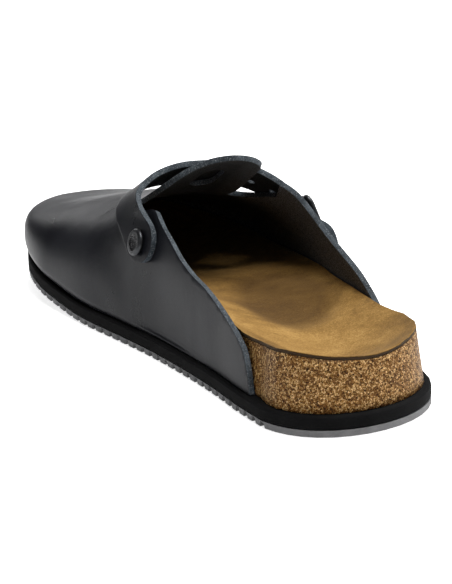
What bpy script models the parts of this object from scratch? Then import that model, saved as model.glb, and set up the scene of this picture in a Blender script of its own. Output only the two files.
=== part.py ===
"""A chef's clog for the right foot, size 42.

A ribbed outsole, a foam midsole and a cork footbed with a suede insole carry a one-piece
leather upper that is open behind. An instep strap is riveted on the inner side, passes over
the upper's raised tab and is fastened by a pin buckle on the outer side.

Metres, +Z up. +Y runs from heel to toe and +X points to the wearer's right, the outer side.
The origin is on the floor, under the middle of the heel's plain patch.
"""

import math

import bmesh
import bpy
import numpy as np
from mathutils import Matrix, Vector

# Driving sizes of the whole shoe
LENGTH = 0.288
BALL_WIDTH = 0.102
INSTEP_RISE = 0.0682
TOE_SPRING = 0.015
HEEL_PATCH = 0.014

# Layers of the sole
OUTSOLE_THICKNESS = 0.0027
OUTSOLE_CHAMFER = 0.0004
GROOVE_COUNT = 32
GROOVE_PITCH = 0.00685
GROOVE_WIDTH = 0.0034
GROOVE_DEPTH = 0.0014
GROOVE_SLOPE = 0.0006
FIRST_GROOVE = 0.0245
MIDSOLE_THICKNESS = 0.005
MIDSOLE_CHAMFER = 0.0007
GAP = 0.0003

# Leather, cork and lining
LEATHER = 0.0022
LEDGE = 0.002
HEEL_LEDGE = 0.0026
CORK_CLEARANCE = 0.0005
SUEDE = 0.0012
CORK_LEAN = 0.105
PAD_RISE = 0.003
PAD_RADIUS = 0.015
TOE_BAR_RISE = 0.0012
TOE_BAR_RADIUS = 0.008

# Strap, rivet and buckle
STRAP_LEATHER = 0.0024
RIVET_RADIUS = 0.0056
RIVET_HEIGHT = 0.0018
RIVET_SETBACK = 0.0078
BUCKLE_WIRE = 0.0024
BUCKLE_WIDTH = 0.0288
BUCKLE_LENGTH = 0.0185
BUCKLE_CORNER = 0.0034
PRONG_WIDTH = 0.0024
PRONG_THICKNESS = 0.0013
CHAPE_WIDTH = 0.019
CHAPE_LENGTH = 0.0138
CHAPE_FOLD = 0.0124
CHAPE_LEATHER = 0.0012
CHAPE_RIVET_RADIUS = 0.0028
CHAPE_RIVET_HEIGHT = 0.0008

SOLE_TOP = OUTSOLE_THICKNESS + GAP + MIDSOLE_THICKNESS + GAP
HALF_BALL = BALL_WIDTH / 2
HEEL_END = 0.104
TOE_END = 0.229
SPRING_START = 0.59

# The sole's outline: centre line and half width, as shares of LENGTH and of BALL_WIDTH / 2
OUTLINE = (
    # along, centre, half width
    (0.000, -0.030, 0.668),
    (0.050, 0.010, 0.668),
    (0.100, 0.036, 0.690),
    (0.160, 0.058, 0.728),
    (0.250, 0.064, 0.733),
    (0.350, 0.076, 0.770),
    (0.450, 0.090, 0.832),
    (0.560, 0.086, 0.914),
    (0.660, 0.068, 0.986),
    (0.750, 0.044, 1.006),
    (0.820, 0.006, 1.006),
    (0.880, -0.044, 1.006),
    (0.930, -0.084, 1.006),
    (1.000, -0.108, 1.006),
)

# The footbed's relief: heights above the sole in shares of INSTEP_RISE
FOOTBED = (
    # along, middle, inner rim, outer rim
    (0.00, 0.170, 0.273, 0.273),
    (0.02, 0.160, 0.308, 0.293),
    (0.05, 0.152, 0.331, 0.321),
    (0.10, 0.145, 0.325, 0.318),
    (0.15, 0.147, 0.303, 0.300),
    (0.20, 0.152, 0.302, 0.287),
    (0.30, 0.172, 0.348, 0.284),
    (0.40, 0.188, 0.366, 0.272),
    (0.50, 0.176, 0.300, 0.236),
    (0.60, 0.140, 0.204, 0.192),
    (0.70, 0.104, 0.142, 0.142),
    (0.85, 0.082, 0.112, 0.112),
    (1.00, 0.090, 0.126, 0.126),
)

# The upper's last: crest height in shares of INSTEP_RISE, place of the crest across the shoe,
# fullness of its inner and outer side (the power of a superellipse) and how far it stays inside
# the sole's edge
LAST = (
    # along, crest, across, inner fullness, outer fullness, inset
    (0.100, 0.870, 0.46, 2.3, 2.2, 0.0024),
    (0.280, 0.935, 0.46, 2.3, 2.2, 0.0024),
    (0.390, 0.990, 0.46, 2.3, 2.18, 0.0024),
    (0.440, 1.006, 0.46, 2.3, 2.14, 0.0024),
    (0.476, 1.000, 0.46, 2.3, 2.11, 0.0022),
    (0.503, 0.962, 0.46, 2.3, 2.1, 0.0020),
    (0.556, 0.850, 0.46, 2.3, 2.08, 0.0016),
    (0.590, 0.766, 0.45, 2.3, 2.1, 0.0012),
    (0.625, 0.688, 0.45, 2.3, 2.1, 0.0008),
    (0.688, 0.594, 0.46, 2.35, 2.2, 0.0002),
    (0.740, 0.530, 0.47, 2.4, 2.3, -0.0003),
    (0.785, 0.470, 0.46, 2.5, 2.3, -0.0007),
    (0.840, 0.378, 0.43, 2.7, 2.2, -0.0008),
    (0.885, 0.304, 0.38, 2.9, 2.1, -0.0008),
    (0.930, 0.244, 0.32, 3.1, 2.0, -0.0006),
    (1.000, 0.176, 0.28, 3.2, 1.9, -0.0004),
)
SKIRT_TURN = 20.0
SKIRT_HEIGHTS = ((0.10, 0.0015), (0.45, 0.0020), (0.80, 0.0060), (0.92, 0.0070), (1.00, 0.0062))
NOSE_LENGTH = 0.031
NOSE_POWER = 2.3

# Raw edges of the upper: rows along the edge, as shares of LENGTH and of INSTEP_RISE above
# the sole on the two quarters, and of LENGTH and BALL_WIDTH / 2 across the slits and the tab
INNER_QUARTER = (
    # along, rise
    (0.1400, -0.060),
    (0.1440, 0.060),
    (0.1490, 0.140),
    (0.1610, 0.228),
    (0.1860, 0.289),
    (0.2400, 0.366),
    (0.2990, 0.438),
    (0.3440, 0.475),
    (0.3820, 0.523),
    (0.4200, 0.590),
    (0.4620, 0.663),
    (0.4930, 0.714),
)
OUTER_QUARTER = (
    # along, rise
    (0.2200, -0.060),
    (0.2230, 0.060),
    (0.2290, 0.150),
    (0.2420, 0.225),
    (0.2600, 0.290),
    (0.3000, 0.385),
    (0.3500, 0.440),
    (0.3980, 0.482),
    (0.4400, 0.542),
    (0.4740, 0.630),
    (0.4910, 0.704),
    (0.5140, 0.752),
)
INNER_SLIT = (
    # along, across
    (0.4980, -0.545),
    (0.5400, -0.562),
    (0.5900, -0.560),
    (0.6350, -0.548),
    (0.6580, -0.533),
    (0.6620, -0.500),
    (0.6500, -0.472),
    (0.6200, -0.448),
    (0.5850, -0.420),
    (0.5520, -0.380),
    (0.5300, -0.332),
)
TAB_END = (
    # along, across
    (0.5150, -0.258),
    (0.4970, -0.164),
    (0.4830, -0.040),
    (0.4760, 0.090),
    (0.4740, 0.210),
    (0.4800, 0.310),
    (0.4950, 0.385),
)
OUTER_SLIT = (
    # along, across
    (0.5250, 0.415),
    (0.5650, 0.428),
    (0.6050, 0.430),
    (0.6350, 0.434),
    (0.6540, 0.452),
    (0.6600, 0.486),
    (0.6540, 0.520),
    (0.6300, 0.560),
    (0.5980, 0.620),
    (0.5600, 0.675),
)
SLOT_CENTRE = (0.570, 0.080)
SLOT_LENGTH = 0.018
SLOT_WIDTH = 0.009

# The strap's rear and front edges from the riveted end to past its free end: the turn round the
# last in degrees and the place along the shoe as a share of LENGTH
STRAP_EDGES = (
    # rear turn, rear along, front turn, front along
    (15.0, 0.436, 13.0, 0.514),
    (29.5, 0.456, 28.0, 0.530),
    (34.5, 0.467, 34.0, 0.549),
    (39.0, 0.492, 40.0, 0.570),
    (45.0, 0.519, 47.0, 0.589),
    (50.0, 0.538, 54.0, 0.602),
    (56.0, 0.551, 61.0, 0.612),
    (64.0, 0.558, 68.0, 0.622),
    (74.0, 0.560, 77.0, 0.631),
    (90.0, 0.556, 91.0, 0.638),
    (109.0, 0.549, 111.0, 0.633),
    (121.0, 0.546, 127.0, 0.627),
    (131.0, 0.538, 138.0, 0.617),
    (138.5, 0.528, 145.5, 0.608),
    (148.0, 0.517, 153.0, 0.600),
    (159.0, 0.508, 162.0, 0.592),
    (171.0, 0.504, 173.0, 0.588),
    (184.0, 0.503, 184.0, 0.587),
)
STRAP_START = 0.0075
BAR_AT = 0.1198
EYE_AT = BAR_AT + BUCKLE_LENGTH - BUCKLE_WIRE
STRAP_END = EYE_AT + 0.0117
STRAP_WIDTH = 0.0242
STRAP_WIDTH_AT_BUCKLE = 0.0224
STRAP_TIP = 0.010

# Heights above the quarter where strap, buckle and chape cross
BAR_HEIGHT = 2 * GAP + STRAP_LEATHER + GAP + BUCKLE_WIRE / 2
EYE_HEIGHT = GAP + CHAPE_LEATHER + GAP + BUCKLE_WIRE / 2
OVER_EYE = EYE_HEIGHT + BUCKLE_WIRE / 2 + GAP + CHAPE_LEATHER + GAP
STRAP_LIFT = (
    # place along the strap, height under its rear edge, how much more under its front edge
    (0.0060, 0.0005, 0.0008),
    (0.0148, 0.0005, 0.0010),
    (0.0210, 0.0008, 0.0012),
    (0.0270, 0.0012, 0.0014),
    (0.0340, 0.0026, 0.0003),
    (0.0400, 0.0031, -0.0001),
    (0.0455, 0.0036, -0.0005),
    (0.0525, 0.0037, -0.0009),
    (0.0610, 0.0031, -0.0007),
    (0.0745, 0.0014, 0.0),
    (0.0935, 0.0010, 0.0002),
    (0.1055, 0.0008, 0.0),
    (BAR_AT, 0.0005, 0.0),
    (BAR_AT + 0.0060, 0.0007, 0.0),
    (BAR_AT + 0.0090, 0.0022, 0.0),
    (BAR_AT + 0.0125, OVER_EYE - 0.0006, 0.0),
    (EYE_AT - 0.0008, OVER_EYE, 0.0),
    (EYE_AT + 0.0020, OVER_EYE, 0.0),
    (EYE_AT + 0.0090, OVER_EYE - 0.0008, 0.0),
    (EYE_AT + 0.0190, OVER_EYE - 0.0026, 0.0),
)
PRONG_HOLE = BAR_AT + 0.0108
PRONG_HOLE_LENGTH = 0.0076
HOLE_WIDTH = 0.0034
SPARE_HOLES = (BAR_AT - 0.012, BAR_AT - 0.022)

COLLECTION = "chef_clog"
COLOURS = {
    # base colour, roughness, metallic
    "outsole": ((0.20, 0.20, 0.205), 0.7, 0.0),
    "midsole": ((0.012, 0.012, 0.013), 0.75, 0.0),
    "footbed": ((0.36, 0.22, 0.11), 0.55, 0.0),
    "insole": ((0.40, 0.26, 0.10), 0.95, 0.0),
    "upper": ((0.030, 0.032, 0.037), 0.42, 0.0),
    "strap": ((0.030, 0.032, 0.037), 0.42, 0.0),
    "metal": ((0.045, 0.045, 0.048), 0.3, 1.0),
}


def smooth(rows, column, at, steady=False):
    """A smooth curve through one column of a table, read at places of its first column. A steady
    one stays between neighbouring rows."""
    places = np.array([row[0] for row in rows])
    values = np.array([row[column] for row in rows])
    slopes = np.gradient(values, places)
    if steady:
        secants = np.diff(values) / np.diff(places)
        before = np.append(secants[0], secants)
        after = np.append(secants, secants[-1])
        limit = 3 * np.minimum(abs(before), abs(after)) * (before * after > 0)
        slopes = np.clip(slopes, -limit, limit)
    at = np.clip(np.asarray(at, float), places[0], places[-1])
    cell = np.clip(np.searchsorted(places, at) - 1, 0, len(places) - 2)
    step = places[cell + 1] - places[cell]
    t = (at - places[cell]) / step
    rise = values[cell] * (1 - t) ** 2 * (1 + 2 * t) + values[cell + 1] * t**2 * (3 - 2 * t)
    return rise + step * (slopes[cell] * t * (1 - t) ** 2 - slopes[cell + 1] * t**2 * (1 - t))


def through(points, steps):
    """A smooth open curve through points, with a number of steps between each two."""
    points = np.asarray(points, float)
    spans = np.sqrt(np.linalg.norm(np.diff(points, axis=0), axis=1))
    places = np.concatenate([[0.0], np.cumsum(spans)])
    at = np.concatenate([np.linspace(a, b, steps, endpoint=False) for a, b in zip(places, places[1:])])
    at = np.append(at, places[-1])
    columns = [smooth(list(zip(places, points[:, i])), 1, at) for i in range(points.shape[1])]
    return np.stack(columns, axis=-1)


def spring(y):
    """How far the sole has risen off the floor towards the toe."""
    start = SPRING_START * LENGTH
    return TOE_SPRING * np.clip((y - start) / (LENGTH - start), 0, None) ** 2


def rounded(distance, radius, power=2.0):
    """From 0 at an end to 1 at the radius, as the quarter of a superellipse."""
    reach = np.clip(1 - distance / radius, 0, 1)
    return (1 - reach**power) ** (1 / power)


def outline_side(side, inset):
    """One side of the outline, moved inwards, as places along and across. Side is -1 or 1."""
    share = (1 - np.cos(np.linspace(0, math.pi, 241))) / 2
    y = share * LENGTH
    half = smooth(OUTLINE, 2, share) * HALF_BALL
    half = half * rounded(y, HEEL_END * LENGTH) * rounded(LENGTH - y, TOE_END * LENGTH)
    x = smooth(OUTLINE, 1, share) * HALF_BALL + side * half
    # The ends turn at right angles to the length, so the slope there is that of the tip
    run = np.stack([np.gradient(x), np.gradient(y)], axis=-1)
    run[0] = (side, 0)
    run[-1] = (-side, 0)
    run /= np.linalg.norm(run, axis=1)[:, None]
    amount = inset(share) if callable(inset) else inset
    return y + side * run[:, 0] * amount, x - side * run[:, 1] * amount


def across(side, share, inset):
    """Points of one side of the outline at shares of its own length, as (x, y)."""
    y, x = outline_side(side, inset)
    at = y[0] + (y[-1] - y[0]) * np.asarray(share, float)
    return np.interp(at, y, x), at


def ends_close(count):
    """Shares of the length that crowd towards both ends, where the outline turns."""
    return (1 - np.cos(np.linspace(0, math.pi, count))) / 2


def make_material(name):
    colour, roughness, metallic = COLOURS[name]
    material = bpy.data.materials.get(name)
    if material is None:
        material = bpy.data.materials.new(name)
        material.use_nodes = True
        shader = material.node_tree.nodes["Principled BSDF"]
        shader.inputs["Base Color"].default_value = (*colour, 1)
        shader.inputs["Roughness"].default_value = roughness
        shader.inputs["Metallic"].default_value = metallic
    return material


def add_piece(name, mesh, material, smooth_angle=35.0):
    """An object of the clog's collection, moved so that the origin lies under the heel."""
    piece = bpy.data.objects.new(name, mesh)
    mesh.transform(Matrix.Translation((0, -HEEL_PATCH, 0)))
    mesh.materials.clear()
    mesh.materials.append(make_material(material))
    mesh.shade_smooth()
    mesh.set_sharp_from_angle(angle=math.radians(smooth_angle))
    bpy.data.collections[COLLECTION].objects.link(piece)
    return piece


def loft(name, rings):
    """A closed solid through rings of points, whose first and last ring may be a line."""
    shell = bmesh.new()
    rows = [[shell.verts.new(point) for point in ring] for ring in rings]
    count = len(rows[0])
    for low, high in zip(rows, rows[1:]):
        for i in range(count):
            j = (i + 1) % count
            # The shorter diagonal, so that two faces laid on each other fold the same way
            rising = (low[i].co - high[j].co).length
            falling = (low[j].co - high[i].co).length
            if abs(rising - falling) < 1e-6:
                rising += 1e-5 * (low[i].co.x > low[j].co.x) - 5e-6
            if rising < falling:
                shell.faces.new((low[i], low[j], high[j]))
                shell.faces.new((low[i], high[j], high[i]))
            else:
                shell.faces.new((low[i], low[j], high[i]))
                shell.faces.new((low[j], high[j], high[i]))
    for row, ring in ((rows[0], rings[0]), (rows[-1], rings[-1])):
        width = np.ptp(np.asarray(ring), axis=0)
        if width[0] > 1e-5:
            shell.faces.new(row)
    bmesh.ops.remove_doubles(shell, verts=shell.verts, dist=2e-6)
    bmesh.ops.recalc_face_normals(shell, faces=shell.faces)
    mesh = bpy.data.meshes.new(name)
    shell.to_mesh(mesh)
    shell.free()
    return mesh


def sole_rings(stations, levels):
    """Rings for a layer of the sole. A level is (side, inset, height at each station)."""
    columns = []
    for side, inset, height in levels:
        x, y = across(side, stations, inset)
        columns.append(np.stack([x, y, height + spring(y)], axis=-1))
    return np.stack(columns, axis=1)


def make_outsole():
    heel = FIRST_GROOVE * (1 - np.cos(np.linspace(0, math.pi / 2, 8)))
    stations = [(y, 0.0) for y in heel[:-1]]
    for i in range(GROOVE_COUNT):
        start = FIRST_GROOVE + i * GROOVE_PITCH
        stations.append((start, 0.0))
        stations.append((start + GROOVE_SLOPE, GROOVE_DEPTH))
        stations.append((start + GROOVE_WIDTH - GROOVE_SLOPE, GROOVE_DEPTH))
        stations.append((start + GROOVE_WIDTH, 0.0))
    last = stations[-1][0]
    toe = last + (LENGTH - last) * np.sin(np.linspace(0, math.pi / 2, 11))
    stations += [(y, 0.0) for y in toe[1:]]
    share = np.array([y for y, _ in stations]) / LENGTH
    depth = np.array([cut for _, cut in stations])
    levels = []
    for side in (-1, 1):
        rise = [
            (OUTSOLE_CHAMFER, depth),
            (0.0, depth + OUTSOLE_CHAMFER),
            (0.0, OUTSOLE_THICKNESS + 0 * depth),
        ]
        levels += [(side, inset, z) for inset, z in (rise if side < 0 else rise[::-1])]
    return add_piece("outsole", loft("outsole", sole_rings(share, levels)), "outsole")


def make_midsole():
    bottom = OUTSOLE_THICKNESS + GAP
    top = bottom + MIDSOLE_THICKNESS
    levels = []
    for side in (-1, 1):
        rise = [
            (MIDSOLE_CHAMFER / 2, bottom),
            (0.0, bottom + MIDSOLE_CHAMFER / 2),
            (0.0, top - MIDSOLE_CHAMFER),
            (MIDSOLE_CHAMFER, top),
        ]
        levels += [(side, inset, z) for inset, z in (rise if side < 0 else rise[::-1])]
    rings = sole_rings(ends_close(41), levels)
    return add_piece("midsole", loft("midsole", rings), "midsole")


def cork_inset(side):
    """The footbed's side lies inside the leather, and swells to the ledge behind it."""
    covered = LEDGE + LEATHER + CORK_CLEARANCE
    edge = INNER_QUARTER[2][0] if side < 0 else OUTER_QUARTER[2][0]

    def inset(share):
        t = np.clip((share - (edge - 0.075)) / 0.06, 0, 1)
        return HEEL_LEDGE + (covered - HEEL_LEDGE) * t * t * (3 - 2 * t)

    return inset


def rim_height(side, share):
    return smooth(FOOTBED, 2 if side < 0 else 3, share) * INSTEP_RISE


def rim_inset(side):
    """The cork leans in as it rises, as the leather does."""
    base = cork_inset(side)
    return lambda share: base(share) + CORK_LEAN * rim_height(side, share)


def bed_rings(stations, sink, columns=11):
    """Rows of points across the footbed's surface, lowered by sink."""
    inner_y, inner_x = outline_side(-1, rim_inset(-1))
    outer_y, outer_x = outline_side(1, rim_inset(1))
    rim = np.concatenate([np.stack([inner_x, inner_y], 1), np.stack([outer_x, outer_y], 1)])
    left = across(-1, stations, rim_inset(-1))
    right = across(1, stations, rim_inset(1))
    spread = (1 - np.cos(np.linspace(0, math.pi, columns))) / 2
    spread = 0.5 * spread + 0.5 * np.linspace(0, 1, columns)
    x = left[0][:, None] + (right[0] - left[0])[:, None] * spread
    y = left[1][:, None] + (right[1] - left[1])[:, None] * spread
    share = np.clip(y / LENGTH, 0, 1)
    gap = np.hypot(x[..., None] - rim[:, 0], y[..., None] - rim[:, 1]).min(axis=-1)
    middle = smooth(FOOTBED, 1, share) * INSTEP_RISE
    lean = np.clip((spread - 0.2) / 0.6, 0, 1)
    lean = lean * lean * (3 - 2 * lean)
    rim_z = rim_height(-1, share) * (1 - lean) + rim_height(1, share) * lean
    bowl = np.clip(1 - gap / (0.33 * BALL_WIDTH), 0, 1) ** 1.8
    pad = PAD_RISE * np.exp(-((x - 0.002) ** 2 + (0.7 * (y - 0.545 * LENGTH)) ** 2) / PAD_RADIUS**2)
    bar = TOE_BAR_RISE * np.exp(-(((y - 0.79 * LENGTH) / TOE_BAR_RADIUS) ** 2)) * (1 - bowl)
    height = middle + (rim_z - middle) * bowl + pad * (1 - bowl) + bar
    # At the two tips the row is a single point
    height[0] = height[0].mean()
    height[-1] = height[-1].mean()
    return np.stack([x, y, SOLE_TOP + spring(y) + height - sink], axis=-1)


def make_footbed():
    stations = ends_close(37)
    surface = bed_rings(stations, SUEDE + GAP)
    sides = {}
    for side in (-1, 1):
        base = cork_inset(side)
        top = rim_inset(side)
        edge = surface[:, 0 if side < 0 else -1, 2]
        rows = []
        for climb in (0.0, 0.5):
            x, y = across(side, stations, lambda s: base(s) * (1 - climb) + top(s) * climb)
            bottom = SOLE_TOP + spring(y)
            rows.append(np.stack([x, y, bottom + (edge - bottom) * climb], axis=-1))
        sides[side] = rows
    columns = sides[-1] + [surface[:, i] for i in range(surface.shape[1])] + sides[1][::-1]
    return add_piece("footbed", loft("footbed", np.stack(columns, axis=1)), "footbed")


def make_insole():
    stations = ends_close(37)
    top = bed_rings(stations, 0.0)
    bottom = bed_rings(stations, SUEDE)
    rings = np.concatenate([top, bottom[:, ::-1]], axis=1)
    return add_piece("insole", loft("insole", rings), "insole")


def last_frame(share):
    """What the last's section needs at each share of the length."""
    inset = smooth(LAST, 5, share)
    y = share * (LENGTH - inset)
    sides = []
    for side in (-1, 1):
        along, x = outline_side(side, lambda s: smooth(LAST, 5, s))
        sides.append(np.interp(y, along, x))
    left, right = sides
    centre = left + smooth(LAST, 2, share) * (right - left)
    base = SOLE_TOP + spring(y)
    widest = base + smooth(SKIRT_HEIGHTS, 1, share)
    crest = base + smooth(LAST, 1, share) * INSTEP_RISE
    nose = rounded((LENGTH - inset) - y, NOSE_LENGTH, NOSE_POWER)
    crest = widest + (crest - widest) * nose
    powers = smooth(LAST, 3, share), smooth(LAST, 4, share)
    return y, left, right, centre, base, widest, crest, powers, inset


def last_surface(turn, share):
    """The upper's outer face. Turn runs from 0 on the inner side to 180 on the outer side, and
    the skirt below it to SKIRT_TURN more at each end."""
    turn, share = np.broadcast_arrays(np.asarray(turn, float), np.asarray(share, float))
    shape = turn.shape
    turn, share = turn.ravel(), np.clip(share.ravel(), 0, 1)
    y, left, right, centre, base, widest, crest, powers, inset = last_frame(share)
    power = np.where(turn < 90, *powers)
    angle = np.radians(np.clip(turn, 0, 180))
    cosine, sine = np.cos(angle), np.sin(angle)
    reach = np.where(cosine > 0, centre - left, right - centre)
    x = centre - np.sign(cosine) * reach * np.abs(cosine) ** (2 / power)
    z = widest + (crest - widest) * np.clip(sine, 0, 1) ** (2 / power)
    drop = np.clip(np.where(turn < 90, -turn, turn - 180) / SKIRT_TURN, 0, 1)
    tuck = drop**2 * (LEDGE - inset)
    for side in (-1, 1):
        below = (drop > 0) & ((turn > 90) == (side > 0))
        along, shelf = outline_side(side, LEDGE)
        edge_y = share * (LENGTH - LEDGE)
        edge_x = np.interp(edge_y, along, shelf)
        t = np.where(LEDGE - inset > 1e-9, tuck / (LEDGE - inset + 1e-12), 0)
        rim_x = left if side < 0 else right
        x = np.where(below, rim_x + (edge_x - rim_x) * t, x)
        y = np.where(below, y + (edge_y - y) * t, y)
    z = np.where(drop > 0, widest + (base - widest) * drop, z)
    return np.stack([x, y, z], axis=-1).reshape(*shape, 3)


def last_normal(turn, share):
    """Outward normals of the last, by central differences."""
    turn = np.clip(np.asarray(turn, float), -SKIRT_TURN + 0.6, 180 + SKIRT_TURN - 0.6)
    share = np.clip(np.asarray(share, float), 0.02, 0.9985)
    round_about = last_surface(turn + 0.5, share) - last_surface(turn - 0.5, share)
    forward = last_surface(turn, share + 0.0012) - last_surface(turn, share - 0.0012)
    normal = np.cross(round_about, forward)
    normal /= np.linalg.norm(normal, axis=-1)[..., None]
    return normal


def turn_at_rise(side, share, rise):
    """The turn at which a quarter has a height above the sole, and below it a part of the skirt."""
    share = np.asarray(share, float)
    _, _, _, _, base, widest, crest, powers, _ = last_frame(share)
    power = powers[0] if side < 0 else powers[1]
    z = base + np.asarray(rise) * INSTEP_RISE
    high = np.clip((z - widest) / (crest - widest), 0, 1) ** (power / 2)
    turn = np.degrees(np.arcsin(high)) - SKIRT_TURN * np.clip((widest - z) / (widest - base), 0, 3)
    return turn if side < 0 else 180 - turn


def turn_at_x(share, x):
    """The turn at which the last has a place across the shoe."""
    _, left, right, centre, _, _, _, powers, _ = last_frame(np.asarray(share, float))
    x = np.asarray(x, float)
    power = np.where(x < centre, *powers)
    reach = np.where(x < centre, centre - left, right - centre)
    cosine = np.sign(centre - x) * np.clip(np.abs(centre - x) / reach, 0, 1) ** (power / 2)
    return np.degrees(np.arccos(cosine))


# The flat leather is cut as a pattern, with this much width for a degree of turn
PATTERN_DEGREE = 0.0008
PATTERN_REAR = 0.125
CROWDED_ROWS = 11
PLAIN_ROWS = 25
PATTERN_COLUMNS = 34


def pattern_point(turn, share):
    return np.stack([turn * PATTERN_DEGREE, share * LENGTH], axis=-1)


def opening_outline():
    """The collar, the two slits and the tab's end as one closed line on the flat pattern."""
    runs = []
    for side, rows in ((-1, INNER_QUARTER), (1, OUTER_QUARTER)):
        share, rise = np.array(rows).T
        runs.append(pattern_point(turn_at_rise(side, share, rise), share))
    for rows in (INNER_SLIT, TAB_END, OUTER_SLIT):
        share, place = np.array(rows).T
        runs.append(pattern_point(turn_at_x(share, place * HALF_BALL), share))
    inner, outer, inner_slit, tab, outer_slit = runs
    middle = np.concatenate([inner_slit, tab, outer_slit])
    return np.concatenate([through(inner, 3), through(middle, 3), through(outer, 3)[::-1]])


def slot_outline():
    """A long hole with round ends in the tab, under the strap."""
    share, place = SLOT_CENTRE
    centre = pattern_point(turn_at_x(share, place * HALF_BALL), share)
    straight = (SLOT_LENGTH - SLOT_WIDTH) / 2
    points = []
    for end, start in ((1, 0.0), (-1, math.pi)):
        for angle in start + np.linspace(0, math.pi, 9):
            points.append(
                centre
                + np.array([math.cos(angle), math.sin(angle)]) * SLOT_WIDTH / 2
                + np.array([0, end * straight])
            )
    return np.array(points)


def prism(name, outline, low, high):
    """A hidden cutter: a flat outline with straight sides."""
    body = bmesh.new()
    face = body.faces.new([body.verts.new((x, y, low)) for x, y in outline])
    grown = bmesh.ops.extrude_face_region(body, geom=[face])
    raised = [v for v in grown["geom"] if isinstance(v, bmesh.types.BMVert)]
    bmesh.ops.translate(body, verts=raised, vec=(0, 0, high - low))
    bmesh.ops.recalc_face_normals(body, faces=body.faces)
    mesh = bpy.data.meshes.new(name)
    body.to_mesh(mesh)
    body.free()
    cutter = bpy.data.objects.new(name, mesh)
    cutter.hide_render = True
    cutter.display_type = "WIRE"
    bpy.data.collections["cutters"].objects.link(cutter)
    return cutter


def flat_leather(name, columns, rows, thickness):
    """A flat sheet of leather between lines across and along the pattern."""
    sheet = bmesh.new()
    grid = [[sheet.verts.new((x, y, 0)) for x in columns] for y in rows]
    for low, high in zip(grid, grid[1:]):
        for i in range(len(columns) - 1):
            sheet.faces.new((low[i], low[i + 1], high[i + 1], high[i]))
    mesh = bpy.data.meshes.new(name)
    sheet.to_mesh(mesh)
    sheet.free()
    blank = bpy.data.objects.new(name, mesh)
    bpy.context.scene.collection.objects.link(blank)
    solid = blank.modifiers.new("thickness", "SOLIDIFY")
    solid.thickness = thickness
    solid.offset = -1
    return blank


def evaluated_mesh(blank):
    bpy.context.view_layer.update()
    mesh = bpy.data.meshes.new_from_object(
        blank.evaluated_get(bpy.context.evaluated_depsgraph_get())
    )
    bpy.data.objects.remove(blank)
    return mesh


def pull_over_last(mesh, thickness):
    """Moves each point of a flat piece onto the last, its thickness along the normal."""
    flat = np.array([v.co for v in mesh.vertices])
    turn = flat[:, 0] / PATTERN_DEGREE
    share = flat[:, 1] / LENGTH
    outer = last_surface(turn, share)
    normal = last_normal(turn, share)
    tip = share > 0.9999
    normal[tip] = (0, 1, 0)
    depth = np.where(flat[:, 2] < -thickness / 2, thickness, 0)
    lasted = outer - normal * depth[:, None]
    for vertex, place in zip(mesh.vertices, lasted):
        vertex.co = place


def make_upper():
    columns = np.linspace(-SKIRT_TURN, 180 + SKIRT_TURN, PATTERN_COLUMNS + 1) * PATTERN_DEGREE
    nose = 1 - 1.35 * NOSE_LENGTH / LENGTH
    plain = np.linspace(PATTERN_REAR, nose, PLAIN_ROWS)
    crowded = nose + (1 - nose) * np.sin(np.linspace(0, math.pi / 2, CROWDED_ROWS))
    rows = np.concatenate([plain, crowded[1:]]) * LENGTH
    sheet = flat_leather("upper_pattern", columns, rows, LEATHER)
    collar = opening_outline()
    low_rear = PATTERN_REAR * LENGTH - 0.01
    corners = np.array([[collar[-1][0], low_rear], [collar[0][0], low_rear]])
    for cutter_name, outline in (
        ("collar_cutter", np.concatenate([collar, corners])),
        ("slot_cutter", slot_outline()),
    ):
        cut = sheet.modifiers.new(cutter_name, "BOOLEAN")
        cut.object = prism(cutter_name, outline, -2 * LEATHER, LEATHER)
        cut.operation = "DIFFERENCE"
        cut.solver = "EXACT"
    mesh = evaluated_mesh(sheet)
    flat = bmesh.new()
    flat.from_mesh(mesh)
    bmesh.ops.triangulate(flat, faces=flat.faces)
    # The two sides of the toe are sewn to each other, so the pattern's front end has no face
    front = [f for f in flat.faces if min(v.co.y for v in f.verts) > LENGTH - 1e-5]
    bmesh.ops.delete(flat, geom=front, context="FACES")
    flat.to_mesh(mesh)
    flat.free()
    pull_over_last(mesh, LEATHER)
    lasted = bmesh.new()
    lasted.from_mesh(mesh)
    bmesh.ops.remove_doubles(lasted, verts=lasted.verts, dist=1e-5)
    bmesh.ops.recalc_face_normals(lasted, faces=lasted.faces)
    lasted.to_mesh(mesh)
    lasted.free()
    return add_piece("upper", mesh, "upper")


def strap_guides(place):
    """Turn and share of the strap's two edges at lengths along it."""
    line = through(STRAP_EDGES, 12)
    middle = last_surface((line[:, 0] + line[:, 2]) / 2, (line[:, 1] + line[:, 3]) / 2)
    run = np.append(0, np.cumsum(np.linalg.norm(np.diff(middle, axis=0), axis=1)))
    return [np.interp(place, run, line[:, column]) for column in range(4)]


def on_strap(flat):
    """Lays points of the flat strap (along it, towards the toe, up) over the last."""
    flat = np.asarray(flat, float)
    rear_turn, rear_along, front_turn, front_along = strap_guides(flat[:, 0])
    part_way = 0.5 + flat[:, 1] / STRAP_WIDTH
    turn = rear_turn + (front_turn - rear_turn) * part_way
    share = rear_along + (front_along - rear_along) * part_way
    return last_surface(turn, share) + last_normal(turn, share) * flat[:, 2:3]


def lay_on_last(blank):
    mesh = evaluated_mesh(blank)
    body = bmesh.new()
    body.from_mesh(mesh)
    bmesh.ops.triangulate(body, faces=body.faces)
    places = on_strap([v.co for v in body.verts])
    for vertex, place in zip(body.verts, places):
        vertex.co = place
    bmesh.ops.recalc_face_normals(body, faces=body.faces)
    body.to_mesh(mesh)
    body.free()
    return mesh


def scratch(name, mesh):
    blank = bpy.data.objects.new(name, mesh)
    bpy.context.scene.collection.objects.link(blank)
    return blank


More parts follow.
